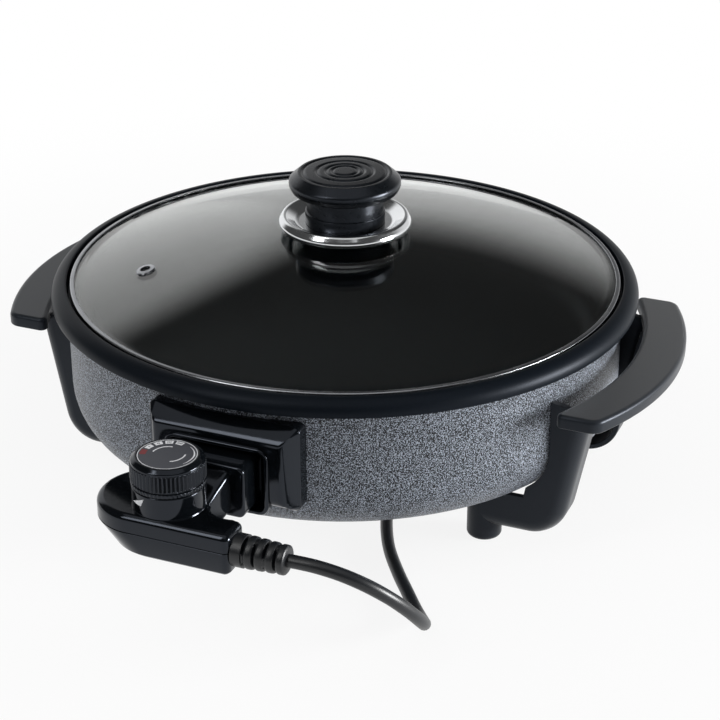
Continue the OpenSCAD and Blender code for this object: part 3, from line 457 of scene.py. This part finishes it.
# lid: a dome of glass with a flat edge, and a folded steel band round it
lid = {"domeR": 495.75, "domeZ": -339.5, "glass": 4.0, "edge": 167.75, "low": 124.25, "high": 128.25,
       "dome": 164.25, "blend": 1.5, "hole": 2.9, "rows": 48, "sectors": 224}
holeTilt = np.arcsin(lid["hole"] / lid["domeR"])
rimTilt = np.arcsin((lid["dome"] - lid["blend"]) / lid["domeR"])
tilt = np.linspace(holeTilt, rimTilt, lid["rows"])
outer = np.stack([lid["domeR"] * np.sin(tilt), lid["domeZ"] + lid["domeR"] * np.cos(tilt)], -1)
innerR = lid["domeR"] - lid["glass"]
lowTilt = np.arccos((lid["low"] - lid["domeZ"]) / innerR)
tilt = np.linspace(lowTilt, np.arcsin(lid["hole"] / innerR), lid["rows"])
inner = np.stack([innerR * np.sin(tilt), lid["domeZ"] + innerR * np.cos(tilt)], -1)
rimLine = rounded([(lid["dome"] - 0.4, lid["high"] + 0.1, 0), (lid["dome"] + 1.2, lid["high"], 0.8),
                   (lid["edge"], lid["high"], 0.6), (lid["edge"], lid["low"], 0.6),
                   (inner[0, 0], lid["low"], 0)])
glassShell = turned(np.vstack([outer, rimLine[1:-1], inner]), lid["sectors"], over=True)
makePiece("domeGlass", [glassShell], lidGlass, "lid", ("lid_glass",))
band = {"out": 168.7, "lip": 165.75, "low": 123.3, "high": 129.2, "inside": 167.8, "insideLow": 124.2,
        "insideHigh": 128.35, "sectors": 240}
bandLine = rounded([(band["lip"], band["low"], 0.3), (band["out"], band["low"], 1.0),
                    (band["out"], band["high"], 1.1), (band["lip"], band["high"], 0.4),
                    (band["lip"], band["insideHigh"], 0.3), (band["inside"], band["insideHigh"], 0.2),
                    (band["inside"], band["insideLow"], 0.2), (band["lip"], band["insideLow"], 0.3)],
                   5, closed=True)
bandShell = turned(bandLine, band["sectors"], over=True)
makePiece("rimBand", [bandShell], bandSteel, "lid", ("lid_rim_band",))

# knob saucer: a foot on the glass, a flat floor, and a rim that rises and rolls over into a deep outer lip
saucer = {"bore": 2.9, "z": 156.3, "foot": 21.0, "floorR": 29.5, "floorZ": 161.6, "crest": 36.9,
          "crestZ": 165.8, "out": 40.5, "lipZ": 159.4, "sheet": 1.2, "roll": 4.0, "sectors": 160}
saucerUnder = [(saucer["bore"], saucer["z"], 0), (saucer["foot"], saucer["z"], 2),
               (saucer["floorR"], saucer["floorZ"] - saucer["sheet"], 5),
               (saucer["crest"], saucer["crestZ"] - saucer["sheet"], 1.2),
               (saucer["out"] - 1.6, saucer["lipZ"], 0.3)]
saucerOver = [(saucer["out"] - 0.2, saucer["lipZ"], 0.4),
              (saucer["out"], saucer["lipZ"] + 2.8, saucer["roll"]),
              (saucer["crest"] + 1.4, saucer["crestZ"], saucer["roll"]),
              (saucer["crest"] - 0.8, saucer["crestZ"], 1.4),
              (saucer["floorR"], saucer["floorZ"], 5), (saucer["bore"], saucer["floorZ"], 0)]
saucerLine = rounded(saucerUnder + saucerOver, 8, closed=True)
saucerShell = turned(saucerLine, saucer["sectors"], over=True)
makePiece("knobSaucer", [saucerShell], saucerChrome, "lid", ("knob_saucer",))

# lid knob: a stem with a small step, and a thick round-edged head with ring grooves in its top
grip = {"r": 34.0, "foot": 24.3, "neck": 23.4, "low": 161.65, "step": 168.6, "top": 193.75, "face": 28.0,
        "sag": 0.68, "head": [(23.4, 13.6, 1.2), (30.6, 12.6, 0.8), (32.4, 11.6, 1.2), (34, 8.4, 4),
                              (34, 5.4, 4), (28.5, 0.7, 3)],
        "rings": (0.225, 0.335, 0.5, 0.75), "ringDeep": 0.7, "ringWide": 0.9, "faceRows": 120, "sectors": 160}
stem = [(0, grip["low"], 0), (grip["foot"], grip["low"], 0.4), (grip["foot"], grip["step"], 0.4),
        (grip["neck"], grip["step"] + 0.4, 0.2)]
head = [(r, grip["top"] - drop, soft) for r, drop, soft in grip["head"] + [(grip["face"], grip["sag"], 0)]]
r = np.linspace(grip["face"], 0.0, grip["faceRows"])[1:]
dip = np.max([np.exp(-((r - grip["r"] * ring) / grip["ringWide"]) ** 2) for ring in grip["rings"]], axis=0)
faceLine = np.stack([r, grip["top"] - grip["sag"] * (r / grip["face"]) ** 2 - grip["ringDeep"] * dip], -1)
knobShell = turned(np.vstack([rounded(stem + head, 8), faceLine]), grip["sectors"])
makePiece("lidKnob", [knobShell], satinPhenolic, "lid", ("lid_knob",))

# handles: a crescent plate, an arched web under it, two L-shaped legs bent to their arms, and foot posts
handle = {"reach": 211.0, "half": 88.0, "crown": 23.0, "inner": 184.0, "corner": 9.0, "heel": 4.0,
          "low": 95.0, "top": 103.0, "edges": (0.9, 2.5), "flats": (0.7, 0.7)}
bigR = (handle["half"] ** 2 + handle["crown"] ** 2) / (2 * handle["crown"])
bigX = handle["reach"] - bigR
cornerY = handle["half"] - handle["corner"]
cornerX = bigX + np.sqrt((bigR - handle["corner"]) ** 2 - cornerY ** 2)
heelY = handle["half"] - handle["heel"]
heelX = np.sqrt((handle["inner"] + handle["heel"]) ** 2 - heelY ** 2)
outTurn = np.degrees(np.arctan2(cornerY, cornerX - bigX))
inTurn = np.degrees(np.arctan2(heelY, heelX))
upperEnd = np.vstack([arcLine((cornerX, cornerY), handle["corner"], outTurn, 90, 12)[1:],
                      arcLine((heelX, heelY), handle["heel"], 90, 180 + inTurn, 10)])
outline = np.vstack([arcLine((bigX, 0), bigR, -outTurn, outTurn, 60), upperEnd,
                     arcLine((0, 0), handle["inner"], inTurn, -inTurn, 48)[1:-1], (upperEnd * (1, -1))[::-1]])
plateRows = slabRows(handle["low"], handle["top"], handle["edges"], handle["flats"])
plate = stacked([(insetLine(outline, depth), z) for depth, z in plateRows])

# the web's lower edge is an arch that fades into the plate towards its ends;
# its section has 8 points, the first 6 of them along the lower edge
web = {"turn": 19.0, "rows": 61, "arch": 90.0, "archZ": -3.0, "mid": 186.0, "fadeFrom": 11.0, "fadeOver": 8.0,
       "fadeLow": 80.0, "fadeHigh": 94.0, "bury": 0.6, "below": 6,
       "r": (184.5, 184.7, 185.3, 187.2, 187.8, 188.0, 188.0, 184.5),
       "lift": (0.8, 0.2, 0, 0, 0.2, 0.8, 0, 0)}
webTurn = np.radians(np.linspace(-web["turn"], web["turn"], web["rows"]))[:, None]
archLow = web["archZ"] + np.sqrt(web["arch"] ** 2 - (web["mid"] * np.sin(webTurn)) ** 2)
fade = ease((np.abs(np.degrees(webTurn)) - web["fadeFrom"]) / web["fadeOver"])
webLow = np.maximum(archLow, web["fadeLow"] + (web["fadeHigh"] - web["fadeLow"]) * fade)
webR = np.array(web["r"])[None]
lowRow = np.arange(len(web["r"]))[None] < web["below"]
webZ = np.where(lowRow, webLow + np.array(web["lift"])[None], handle["low"] + web["bury"])
webShell = gridShell(np.stack([webR * np.cos(webTurn), webR * np.sin(webTurn), webZ], -1), caps=True)

# a leg is an angle section carried along its arm, round the bend and up to the plate
leg = {"bendX": 144.0, "bendZ": 33.0, "bend": 23.0, "wide": 26.0, "deep": 24.0, "thick": 3.5, "face": 70.0,
       "lean": 11.0, "outer": 9.0, "inner": 5.5, "soft": 0.8, "bury": 1.0, "rows": 25}
post = {"x": 115.0, "y": 59.5, "r": 10.5, "top": 37.0, "bore": 4.4, "boreTop": 20.0, "soft": 4.0,
        "sectors": 48}
uLow, uHigh = leg["bend"] - leg["wide"], leg["bend"]
vLow, vHigh = leg["face"] - leg["deep"], leg["face"]
section = rounded([(uLow, vHigh, leg["soft"]), (uHigh, vHigh, leg["outer"]), (uHigh, vLow, leg["soft"]),
                   (uHigh - leg["thick"], vLow, leg["soft"]),
                   (uHigh - leg["thick"], vHigh - leg["thick"], leg["inner"]),
                   (uLow, vHigh - leg["thick"], leg["soft"])], 6, closed=True)
lean = np.radians(leg["lean"])
barLong = (handle["low"] + leg["bury"] - leg["bendZ"] + leg["bend"] * np.sin(lean)) / np.cos(lean)
bendTurn = np.linspace(-np.pi / 2, -lean, leg["rows"])
phi = np.concatenate([[-np.pi / 2], bendTurn, np.full(leg["rows"] - 1, -lean)])[:, None]
barSteps = np.linspace(0, barLong, leg["rows"])[1:]
along = np.concatenate([[post["x"] - leg["bendX"]], np.zeros(leg["rows"]), barSteps])[:, None]
legX = leg["bendX"] - np.sin(phi) * along + section[None, :, 0] * np.cos(phi)
legY = np.broadcast_to(-section[None, :, 1], legX.shape)
legZ = leg["bendZ"] + np.cos(phi) * along + section[None, :, 0] * np.sin(phi)
# in the bend, the part of the section inside the bend's centre stays in one corner, so it doesn't fold over
bent = slice(1, leg["rows"] + 1)
inward = np.minimum(section[None, :, 0], 0.0)
legX[bent] += inward * (np.cos(lean) - (1 - np.sin(lean)) * np.tan(lean) - np.cos(phi[bent]))
legZ[bent] -= inward * (1 + np.sin(phi[bent]))
# where a leg passes the shell its inner edge follows the shell's curve, a clearance away
shell = {"r": 170.5, "corner": 30.0, "low": 37.0, "gap": 0.6}
cornerZ = shell["low"] + shell["corner"]
cornerR = shell["corner"] + shell["gap"]
cornerOut = np.sqrt(np.clip(cornerR ** 2 - np.clip(cornerZ - legZ, 0, cornerR) ** 2, 0, None))
shellR = shell["r"] - shell["corner"] + cornerOut
clearX = np.sqrt(np.clip(shellR ** 2 - legY ** 2, 0, None))
legX = np.where(legZ > cornerZ - cornerR, np.maximum(legX, clearX), legX)
legPoints = np.stack([legX, legY, legZ], -1)
postLine = rounded([(0, post["boreTop"], 0), (post["bore"], post["boreTop"], 0), (post["bore"], 0, 0.5),
                    (post["r"], 0, post["soft"]), (post["r"], post["top"], 0), (0, post["top"], 0)])
handleShells = [plate, webShell, gridShell(legPoints, caps=True)]
handleShells += [gridShell(legPoints * (1, -1, 1), caps=True)]
handleShells += [turned(postLine, post["sectors"], (post["x"], q * post["y"])) for q in (-1, 1)]
for name, side in (("Right", 1.0), ("Left", -1.0)):
    sideShells = [(points * (side, 1, 1), quads, ends) for points, quads, ends in handleShells]
    nodes = ("handle_" + name.lower(),)
    makePiece("handle" + name, sideShells, mattPhenolic, "base", nodes)

# socket: a bevelled frame, its front a height over the ring between mouth and outline, and a raised lip
socket = {"w": 92.0, "h": 52.0, "z": 86.0, "wall": 170.4, "base": 172.5, "front": 182.5, "bevel": 7.0,
          "round": 4.0, "soft": 1.2, "mouthW": 58.0, "mouthH": 36.0, "mouthZ": 80.0, "mouthFloor": 174.0,
          "lip": 2.5, "lipOut": 184.0, "lipRoot": 172.8, "probeZ": 71.0, "probeR": 5.05, "probeDeep": 2.0,
          "coarse": (0.0, 0.9, 56), "fine": (0.9, 1.0, 24), "rimDrop": 0.8, "backOff": 1.0}
rim = rectLine(socket["w"], socket["h"], socket["round"]) + (0, socket["z"])
mouth = rectLine(socket["mouthW"], socket["mouthH"], socket["round"]) + (0, socket["mouthZ"])
s = np.concatenate([np.linspace(*socket["coarse"]), np.linspace(*socket["fine"])[1:]])[:, None, None]
face = mouth[None] + (rim - mouth)[None] * s
sideways = np.abs(face[..., 0]) - socket["w"] / 2 + socket["round"]
upwards = np.abs(face[..., 1] - socket["z"]) - socket["h"] / 2 + socket["round"]
past = np.stack([sideways, upwards], -1)
inside = socket["round"] - np.linalg.norm(np.maximum(past, 0), axis=-1) - np.minimum(past.max(-1), 0)
slope = socket["base"] + (socket["front"] - socket["base"]) * inside / socket["bevel"]
depth = socket["front"] - socket["soft"] * np.log1p(np.exp((socket["front"] - slope) / socket["soft"]))
depth = np.maximum(depth, socket["base"] - socket["backOff"])
atWall = np.sqrt(socket["wall"] ** 2 - rim[:, 0] ** 2)
frameRows = [(mouth, socket["mouthFloor"])] + list(zip(face, depth))
frameRows += [(rim, depth[-1].mean() - socket["rimDrop"]), (rim, atWall)]
frameShell = gridShell(layered(frameRows, "front"))
# the mouth's floor is a flat ring from its outline to the round hole that the probe goes through
holeTurn = np.arctan2(mouth[:, 1] - socket["probeZ"], mouth[:, 0])
hole = np.stack([np.cos(holeTurn), np.sin(holeTurn)], -1) * socket["probeR"] + (0, socket["probeZ"])
floorRows = [(mouth, socket["mouthFloor"]), (hole, socket["mouthFloor"])]
floorRows += [(hole, socket["mouthFloor"] - socket["probeDeep"])]
floorShell = gridShell(layered(floorRows, "front"))
lipLine = rounded([(0, socket["mouthFloor"] + 0.5, 0), (0, socket["lipOut"], 0.8),
                   (socket["lip"], socket["lipOut"], 0.9), (socket["lip"], socket["lipRoot"], 0)], 5)
lipRows = []
for wider, d in lipLine:
    ring = rectLine(socket["mouthW"] + 2 * wider, socket["mouthH"] + 2 * wider, socket["round"] + wider)
    lipRows.append((ring + (0, socket["mouthZ"]), d))
socketShells = [frameShell, floorShell, gridShell(layered(lipRows, "front"))]
makePiece("socketFrame", socketShells, glossPhenolic, "base", ("socket_housing",))

# controller: a case with a round end, a waist and soft top edges, parted at mid height,
# with a neck, a head and a turret
case = {"front": 244.5, "cy": 216.5, "round": 28.0, "left": -24.5, "right": 36.5, "corner": 4.0, "arm": 20.5,
        "low": 57.0, "top": 81.0, "part": 70.68, "edge": 3.8, "edgeRows": 10, "hem": 2.0, "tuck": 13.0,
        "tuckGap": 0.4, "foot": ((2.8, 0.0), (2.2, 0.05), (1.8, 0.3), (0.2, 1.8), (0.0, 2.3)),
        "seam": ((1.2, 0.1), (0.5, 0.12), (0.15, 0.2), (0.0, 0.35)),
        "waistAt": (26.0, -209.0), "waist": 15.0, "waistTurn": (-74, -172)}
waistLine = arcLine(case["waistAt"], case["waist"], *case["waistTurn"], 24)


def caseLine(depth, tuck=0.0):
    # outline of the case, with its round end drawn in along x by the tuck, then moved inwards
    end = case["left"] + tuck
    cornerX = case["right"] - case["corner"]
    frontCorner = (cornerX, case["corner"] - case["front"])
    backCorner = (cornerX, case["arm"] - case["corner"] - case["front"])
    frontLine = np.linspace((end, -case["front"]), (cornerX, -case["front"]), 26)[1:-1]
    backLine = np.linspace(waistLine[-1], (end, case["round"] - case["cy"]), 26)[1:-1]
    line = np.vstack([arcLine((end, -case["cy"]), case["round"], 90, 270, 56), frontLine,
                      arcLine(frontCorner, case["corner"], 270, 360, 9),
                      arcLine(backCorner, case["corner"], 0, 90, 9), waistLine, backLine])
    return insetLine(line, depth)


# foot and seam hold an inset each with its distance from the case's bottom or its parting line
lowerRows = [(depth, case["low"] + z) for depth, z in case["foot"]]
lowerRows += [(depth, case["part"] - z) for depth, z in case["seam"][::-1]]
upperRows = [(depth, case["part"] + z) for depth, z in case["seam"]]
q = np.radians(np.linspace(0, 90, case["edgeRows"]))
upperRows += list(zip(case["edge"] * (1 - np.cos(q)), case["top"] - case["edge"] * (1 - np.sin(q))))
upperRows += [(case["edge"] + 0.15, case["top"])]
tuckPerMm = (case["tuck"] - case["hem"]) / (case["part"] - case["low"] - case["hem"])
tucks = [max(0.0, (case["part"] - case["tuckGap"] - z) * tuckPerMm) for depth, z in lowerRows]
lowerCase = stacked([(caseLine(depth, tuck), z) for (depth, z), tuck in zip(lowerRows, tucks)])
upperCase = stacked([(caseLine(depth), z) for depth, z in upperRows])
plugIn = {"w": 48.0, "h": 31.0, "round": 4.0, "face": 175.5, "back": 198.5, "z": 80.0, "edges": (1.0, 1.4),
          "flats": (0.6, 0.8), "neckW": 22.0, "neckFlare": 10.0, "neckRound": 3.0, "neckIn": 6.0,
          "neckBury": 2.0}
neckNear = rectLine(plugIn["neckW"], case["top"] - case["low"] - 1, plugIn["neckRound"])
neckNear = neckNear + (0, (case["top"] + case["low"]) / 2)
neckFar = rectLine(plugIn["neckW"] + plugIn["neckFlare"], plugIn["h"] - plugIn["neckIn"], plugIn["neckRound"])
neckFar = neckFar + (0, plugIn["z"])
neckRows = [(neckNear, case["cy"]), (neckFar, plugIn["back"]), (neckFar, plugIn["back"] - plugIn["neckBury"])]
headLine = rectLine(plugIn["w"], plugIn["h"], plugIn["round"]) + (0, plugIn["z"])
headRows = slabRows(plugIn["face"], plugIn["back"], plugIn["edges"], plugIn["flats"])
headShell = stacked([(insetLine(headLine, depth), d) for depth, d in headRows], "front")
turret = {"at": (-8.5, -222.5), "r": 20.0, "foot": 20.3, "low": 79.5, "top": 94.0, "sectors": 120}
turretLine = rounded([(0, turret["low"], 0), (turret["foot"], turret["low"], 0),
                      (turret["foot"], case["top"] + 0.05, 0.1), (turret["r"], case["top"] + 0.6, 0.5),
                      (turret["r"], turret["top"], 0.7), (0, turret["top"], 0)])
turretShell = turned(turretLine, turret["sectors"], turret["at"])
upperShells = [upperCase, stacked(neckRows, "front"), headShell, turretShell]
makePiece("caseUpper", upperShells, glossPhenolic, "controller", ("controller_case_upper",))
makePiece("caseLower", [lowerCase], glossPhenolic, "controller", ("controller_case_lower",))


def roundTurret(r, a, z):
    # radius, angle and height about the turret's axis to points
    x, y = turret["at"][0] + r * np.cos(a), turret["at"][1] + r * np.sin(a)
    return np.stack([x, y, z + 0 * x], -1)


# pointer printed on the turret: a small leaning triangle wrapped on its wall
pointer = {"foot": 237.5, "tip": 256.0, "z": 87.0, "wide": 8.0, "tall": 5.0, "r": 20.06}
s, t = np.meshgrid(np.linspace(0, 1, 8), np.linspace(-1, 1, 9), indexing="ij")
a = np.radians(pointer["foot"] + (pointer["tip"] - pointer["foot"]) * s)
a = a + t * (1 - s) * pointer["wide"] / 2 / pointer["r"]
pointerShell = gridShell(roundTurret(pointer["r"], a, pointer["z"] + pointer["tall"] * s), around=False)
makePiece("turretPointer", [pointerShell], whiteInkAndHighlight, "controller")

# thermostat knob: a skirt, a groove, a ribbed band and a round crown; ribs are a wave in the radius,
# weighted along the profile
dial = {"z": 94.5, "top": 110.5, "plateDown": 0.05, "ribs": 56, "ribDeep": 0.9, "ribSharp": 1.5,
        "ribSpan": (3.3, 12.9), "ribEase": 0.4, "ribFrom": 19.0, "skirtDeep": 0.35, "skirtTop": 2.2,
        "skirtEase": 0.3, "skirtFrom": 20.0,
        "profile": [(4.1, 0, 0), (20.4, 0, 0.4), (20.4, 2.0, 0.5), (19.3, 2.4, 0.2), (19.3, 3.1, 0.2),
                    (20.6, 3.5, 0.4), (20.6, 12.6, 0.4), (20.0, 13.0, 0.3), (19.8, 14.2, 1.2),
                    (17.6, 16.0, 1.4), (16.4, 16.0, 0.3), (16.4, 15.2, 0.1), (4.1, 15.2, 0)]}
knobR, knobZ = rounded(dial["profile"]).T[:, :, None]
ribStart = np.clip((knobZ - dial["ribSpan"][0]) / dial["ribEase"], 0, 1)
ribStop = np.clip((dial["ribSpan"][1] - knobZ) / dial["ribEase"], 0, 1)
ribShare = ribStart * ribStop * (knobR > dial["ribFrom"])
skirtShare = np.clip((dial["skirtTop"] - knobZ) / dial["skirtEase"], 0, 1) * (knobR > dial["skirtFrom"])
a = np.linspace(0, 2 * np.pi, dial["ribs"] * 10, endpoint=False)[None]
wave = (0.5 - 0.5 * np.cos(dial["ribs"] * a)) ** dial["ribSharp"]
wavyR = knobR - (dial["ribDeep"] * ribShare + dial["skirtDeep"] * skirtShare) * wave
dialShell = gridShell(roundTurret(wavyR, a, dial["z"] + knobZ), over=True)
makePiece("thermostatKnob", [dialShell], glossPhenolic, "thermostat_knob", ("control_knob",))


def dialStrip(start, stop, fromR, toR, count, lift=0.03):
    # a flat piece of a ring on the dial, between two angles in degrees; its two radii may taper along it
    a = np.radians(np.linspace(start, stop, count))[:, None]
    share = np.linspace(0, 1, count)[:, None]
    radii = [low + (high - low) * share for low, high in (fromR, toR)]
    z = dial["top"] - dial["plateDown"] + lift
    return gridShell(roundTurret(np.concatenate(radii, 1), a, z), around=False)


# dial print: four pale panels with one to four dark bars, thin arcs inside, a tapering arc and a red off
# panel; a full white ring at the face's edge is a painted highlight, not print
marking = {"panels": (163.5, 138.0, 112.5, 87.0), "panelHalf": 9.4, "panelR": (11.7, 14.9), "barStep": 3.6,
           "barHalf": 1.0, "barR": (12.6, 14.0), "barLift": 0.06, "barCount": 3,
           "off": 190.5, "offHalf": 11.5, "offR": (11.6, 15.0),
           "arcs": [(182, 98, (8.0, 8.0), (8.8, 8.8), 40), (20, -54, (9.2, 7.8), (10.0, 8.6), 40),
                    (58, 16, (14.0, 14.0), (14.2, 14.9), 24), (16, -26, (14.0, 13.7), (14.9, 14.0), 24),
                    # the last arc, a full ring at the face's edge, is a painted highlight in white ink
                    (0, 359.9, (15.7, 15.7), (16.1, 16.1), 120)]}


def dialPanel(middle, half, radii, count=14, lift=0.03):
    # a strip of even width about a middle angle
    return dialStrip(middle - half, middle + half, radii[:1] * 2, radii[1:] * 2, count, lift)


marks = [dialPanel(middle, marking["panelHalf"], marking["panelR"]) for middle in marking["panels"]]
marks += [dialStrip(*arc) for arc in marking["arcs"]]
makePiece("dialPrintAndHighlightRing", marks, whiteInkAndHighlight, "thermostat_knob")
barTurns = [middle + marking["barStep"] * (k - n / 2 + 0.5) for n, middle in enumerate(marking["panels"], 1)
            for k in range(n)]
bars = [dialPanel(turn, marking["barHalf"], marking["barR"], marking["barCount"], marking["barLift"])
        for turn in barTurns]
makePiece("dialBars", bars, dialFoil, "thermostat_knob")
offMark = dialPanel(marking["off"], marking["offHalf"], marking["offR"])
makePiece("dialOffMark", [offMark], redInk, "thermostat_knob")
print("pieces made")

# finishes of the solids that stay as they are
kept = [(hammeredPaint, ["outer_shell"]), (steatite, ["terminal_insulators"]), (bandSteel, ["vent_eyelet"]),
        (cordPvc, ["knob_washer"]), (dialFoil, ["dial_plate"]), (mattPhenolic, ["cord_tie"]),
        (contactBrass, ["terminal_pins", "contact_sleeves", "earth_sleeve", "contact_blades"]),
        (zincSteel, ["heating_element", "earth_pin", "probe_well", "socket_screws", "handle_screws",
                     "knob_screw", "case_screws", "sensor_probe", "thermostat_bracket", "knob_spindle",
                     "plug_pins"])]
for finish, names in kept:
    for name in names:
        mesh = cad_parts[name].data
        mesh.materials.clear()
        mesh.materials.append(finish)

# floor and light
paper = {"half": 8.0, "tint": "#dcdcdc", "white": 0.88, "near": 0.28, "far": 0.75}
softRamp = {"interpolation_type": "SMOOTHSTEP"}
h = paper["half"]
floorMesh = bpy.data.meshes.new("paperFloor")
floorMesh.from_pydata([(-h, -h, 0), (h, -h, 0), (h, h, 0), (-h, h, 0)], [], [(0, 1, 2, 3)])
floorPaper, tree, shader, here = newFinish("paperFloor", {
    "Base Color": ink(paper["tint"]), "Roughness": 0.9, "Specular IOR Level": 0.1})


def raySwitch(tree):
    # 1 for camera, glossy and transmission rays, 0 for the rays that carry light
    rays = addNode(tree, "ShaderNodeLightPath")
    pair = addNode(tree, "ShaderNodeMath", {"operation": "ADD"},
                   {0: rays.outputs["Is Camera Ray"], 1: rays.outputs["Is Glossy Ray"]})
    seen = addNode(tree, "ShaderNodeMath", {"operation": "ADD", "use_clamp": True},
                   {0: pair.outputs[0], 1: rays.outputs["Is Transmission Ray"]})
    return rays, seen.outputs[0]


# the paper is seen mostly as plain white, all white away from the object, and for the rest as lit,
# so that a pale shadow stays
away = addNode(tree, "ShaderNodeVectorMath", {"operation": "LENGTH"}, {0: here}).outputs["Value"]
whiteShare = addNode(tree, "ShaderNodeMapRange", softRamp,
                     {0: away, 1: paper["near"], 2: paper["far"], 3: paper["white"], 4: 1.0}).outputs[0]
share = addNode(tree, "ShaderNodeMath", {"operation": "MULTIPLY"}, {0: raySwitch(tree)[1], 1: whiteShare})
white = addNode(tree, "ShaderNodeEmission", None, {"Color": (1, 1, 1, 1), "Strength": 1.0})
both = addNode(tree, "ShaderNodeMixShader", None,
               {0: share.outputs[0], 1: shader.outputs[0], 2: white.outputs[0]})
tree.links.new(both.outputs[0], tree.nodes["Material Output"].inputs["Surface"])
floorMesh.materials.append(floorPaper)
floorPiece = bpy.data.objects.new("paperFloor", floorMesh)
bpy.context.collection.objects.link(floorPiece)

# room: white to the camera and through glass; mirrored rays see a white backdrop behind, up to a height,
# a window at its left and a dim room; the ambient level lights the object
room = {"ambient": 0.28, "dim": 0.06, "backdrop": 0.80, "backdropHeight": (0.50, 0.15),
        "backdropDepth": (0.1, 0.6), "window": 1.05, "windowAt": (-0.749, 0.629, 0.208),
        "windowEdge": (0.87, 0.945)}
world = bpy.data.worlds.new("softRoom")
bpy.context.scene.world = world
world.use_nodes = True
tree = world.node_tree
tree.nodes.clear()
rays, seen = raySwitch(tree)


def rampTo(value, span, low, high):
    # smooth ramp from low to high over a span of the value
    return addNode(tree, "ShaderNodeMapRange", softRamp,
                   {0: value, 1: span[0], 2: span[1], 3: low, 4: high}).outputs[0]


way = addNode(tree, "ShaderNodeTexCoord").outputs["Generated"]
parts = addNode(tree, "ShaderNodeSeparateXYZ", None, {0: way})
towards = addNode(tree, "ShaderNodeVectorMath", {"operation": "DOT_PRODUCT"}, {0: way, 1: room["windowAt"]})
window = rampTo(towards.outputs["Value"], room["windowEdge"], room["dim"], room["window"])
height = rampTo(parts.outputs["Z"], room["backdropHeight"], 0.0, room["backdrop"])
behind = rampTo(parts.outputs["Y"], room["backdropDepth"], 0.0, 1.0)
backdrop = addNode(tree, "ShaderNodeMath", {"operation": "MULTIPLY"}, {0: height, 1: behind}).outputs[0]
wall = addNode(tree, "ShaderNodeMath", {"operation": "MAXIMUM"}, {0: window, 1: backdrop}).outputs[0]
mirrored = addNode(tree, "ShaderNodeMix", {"data_type": "FLOAT"},
                   {0: rays.outputs["Is Glossy Ray"], 2: 1.0, 3: wall}).outputs[0]
level = addNode(tree, "ShaderNodeMix", {"data_type": "FLOAT"}, {0: seen, 2: room["ambient"], 3: mirrored})
sky = addNode(tree, "ShaderNodeBackground", None, {"Color": (1, 1, 1, 1), "Strength": level.outputs[0]})
addNode(tree, "ShaderNodeOutputWorld", None, {"Surface": sky.outputs[0]})

# soft boxes: place and size in metres, power in watts; mirrored ones show in glossy surfaces
lampAim = (0.0, 0.03, 0.08)
lamps = {"keyBox": {"at": (-0.70, -1.31, 1.46), "size": (0.5, 1.2), "power": 9.0, "mirrored": True},
         "sideBox": {"at": (-1.70, -0.10, 0.75), "size": (0.8, 0.8), "power": 12.0, "mirrored": False},
         "fillBox": {"at": (1.80, 0.35, 0.36), "size": (0.7, 0.5), "power": 65.0, "mirrored": True},
         "topBox": {"at": (0.1, -0.55, 2.1), "size": (2.4, 2.4), "power": 11.0, "mirrored": True}}
for name, box in lamps.items():
    lampData = bpy.data.lights.new(name, "AREA")
    lampData.shape = "RECTANGLE"
    lampData.size, lampData.size_y = box["size"]
    lampData.energy = box["power"]
    lamp = bpy.data.objects.new(name, lampData)
    bpy.context.collection.objects.link(lamp)
    lamp.location = box["at"]
    lamp.rotation_mode = "QUATERNION"
    lamp.rotation_quaternion = (Vector(lampAim) - Vector(box["at"])).to_track_quat("-Z", "Y")
    lamp.visible_glossy = box["mirrored"]
    lamp.visible_transmission = False
bpy.context.scene.view_settings.view_transform = "Standard"
print("studio set")
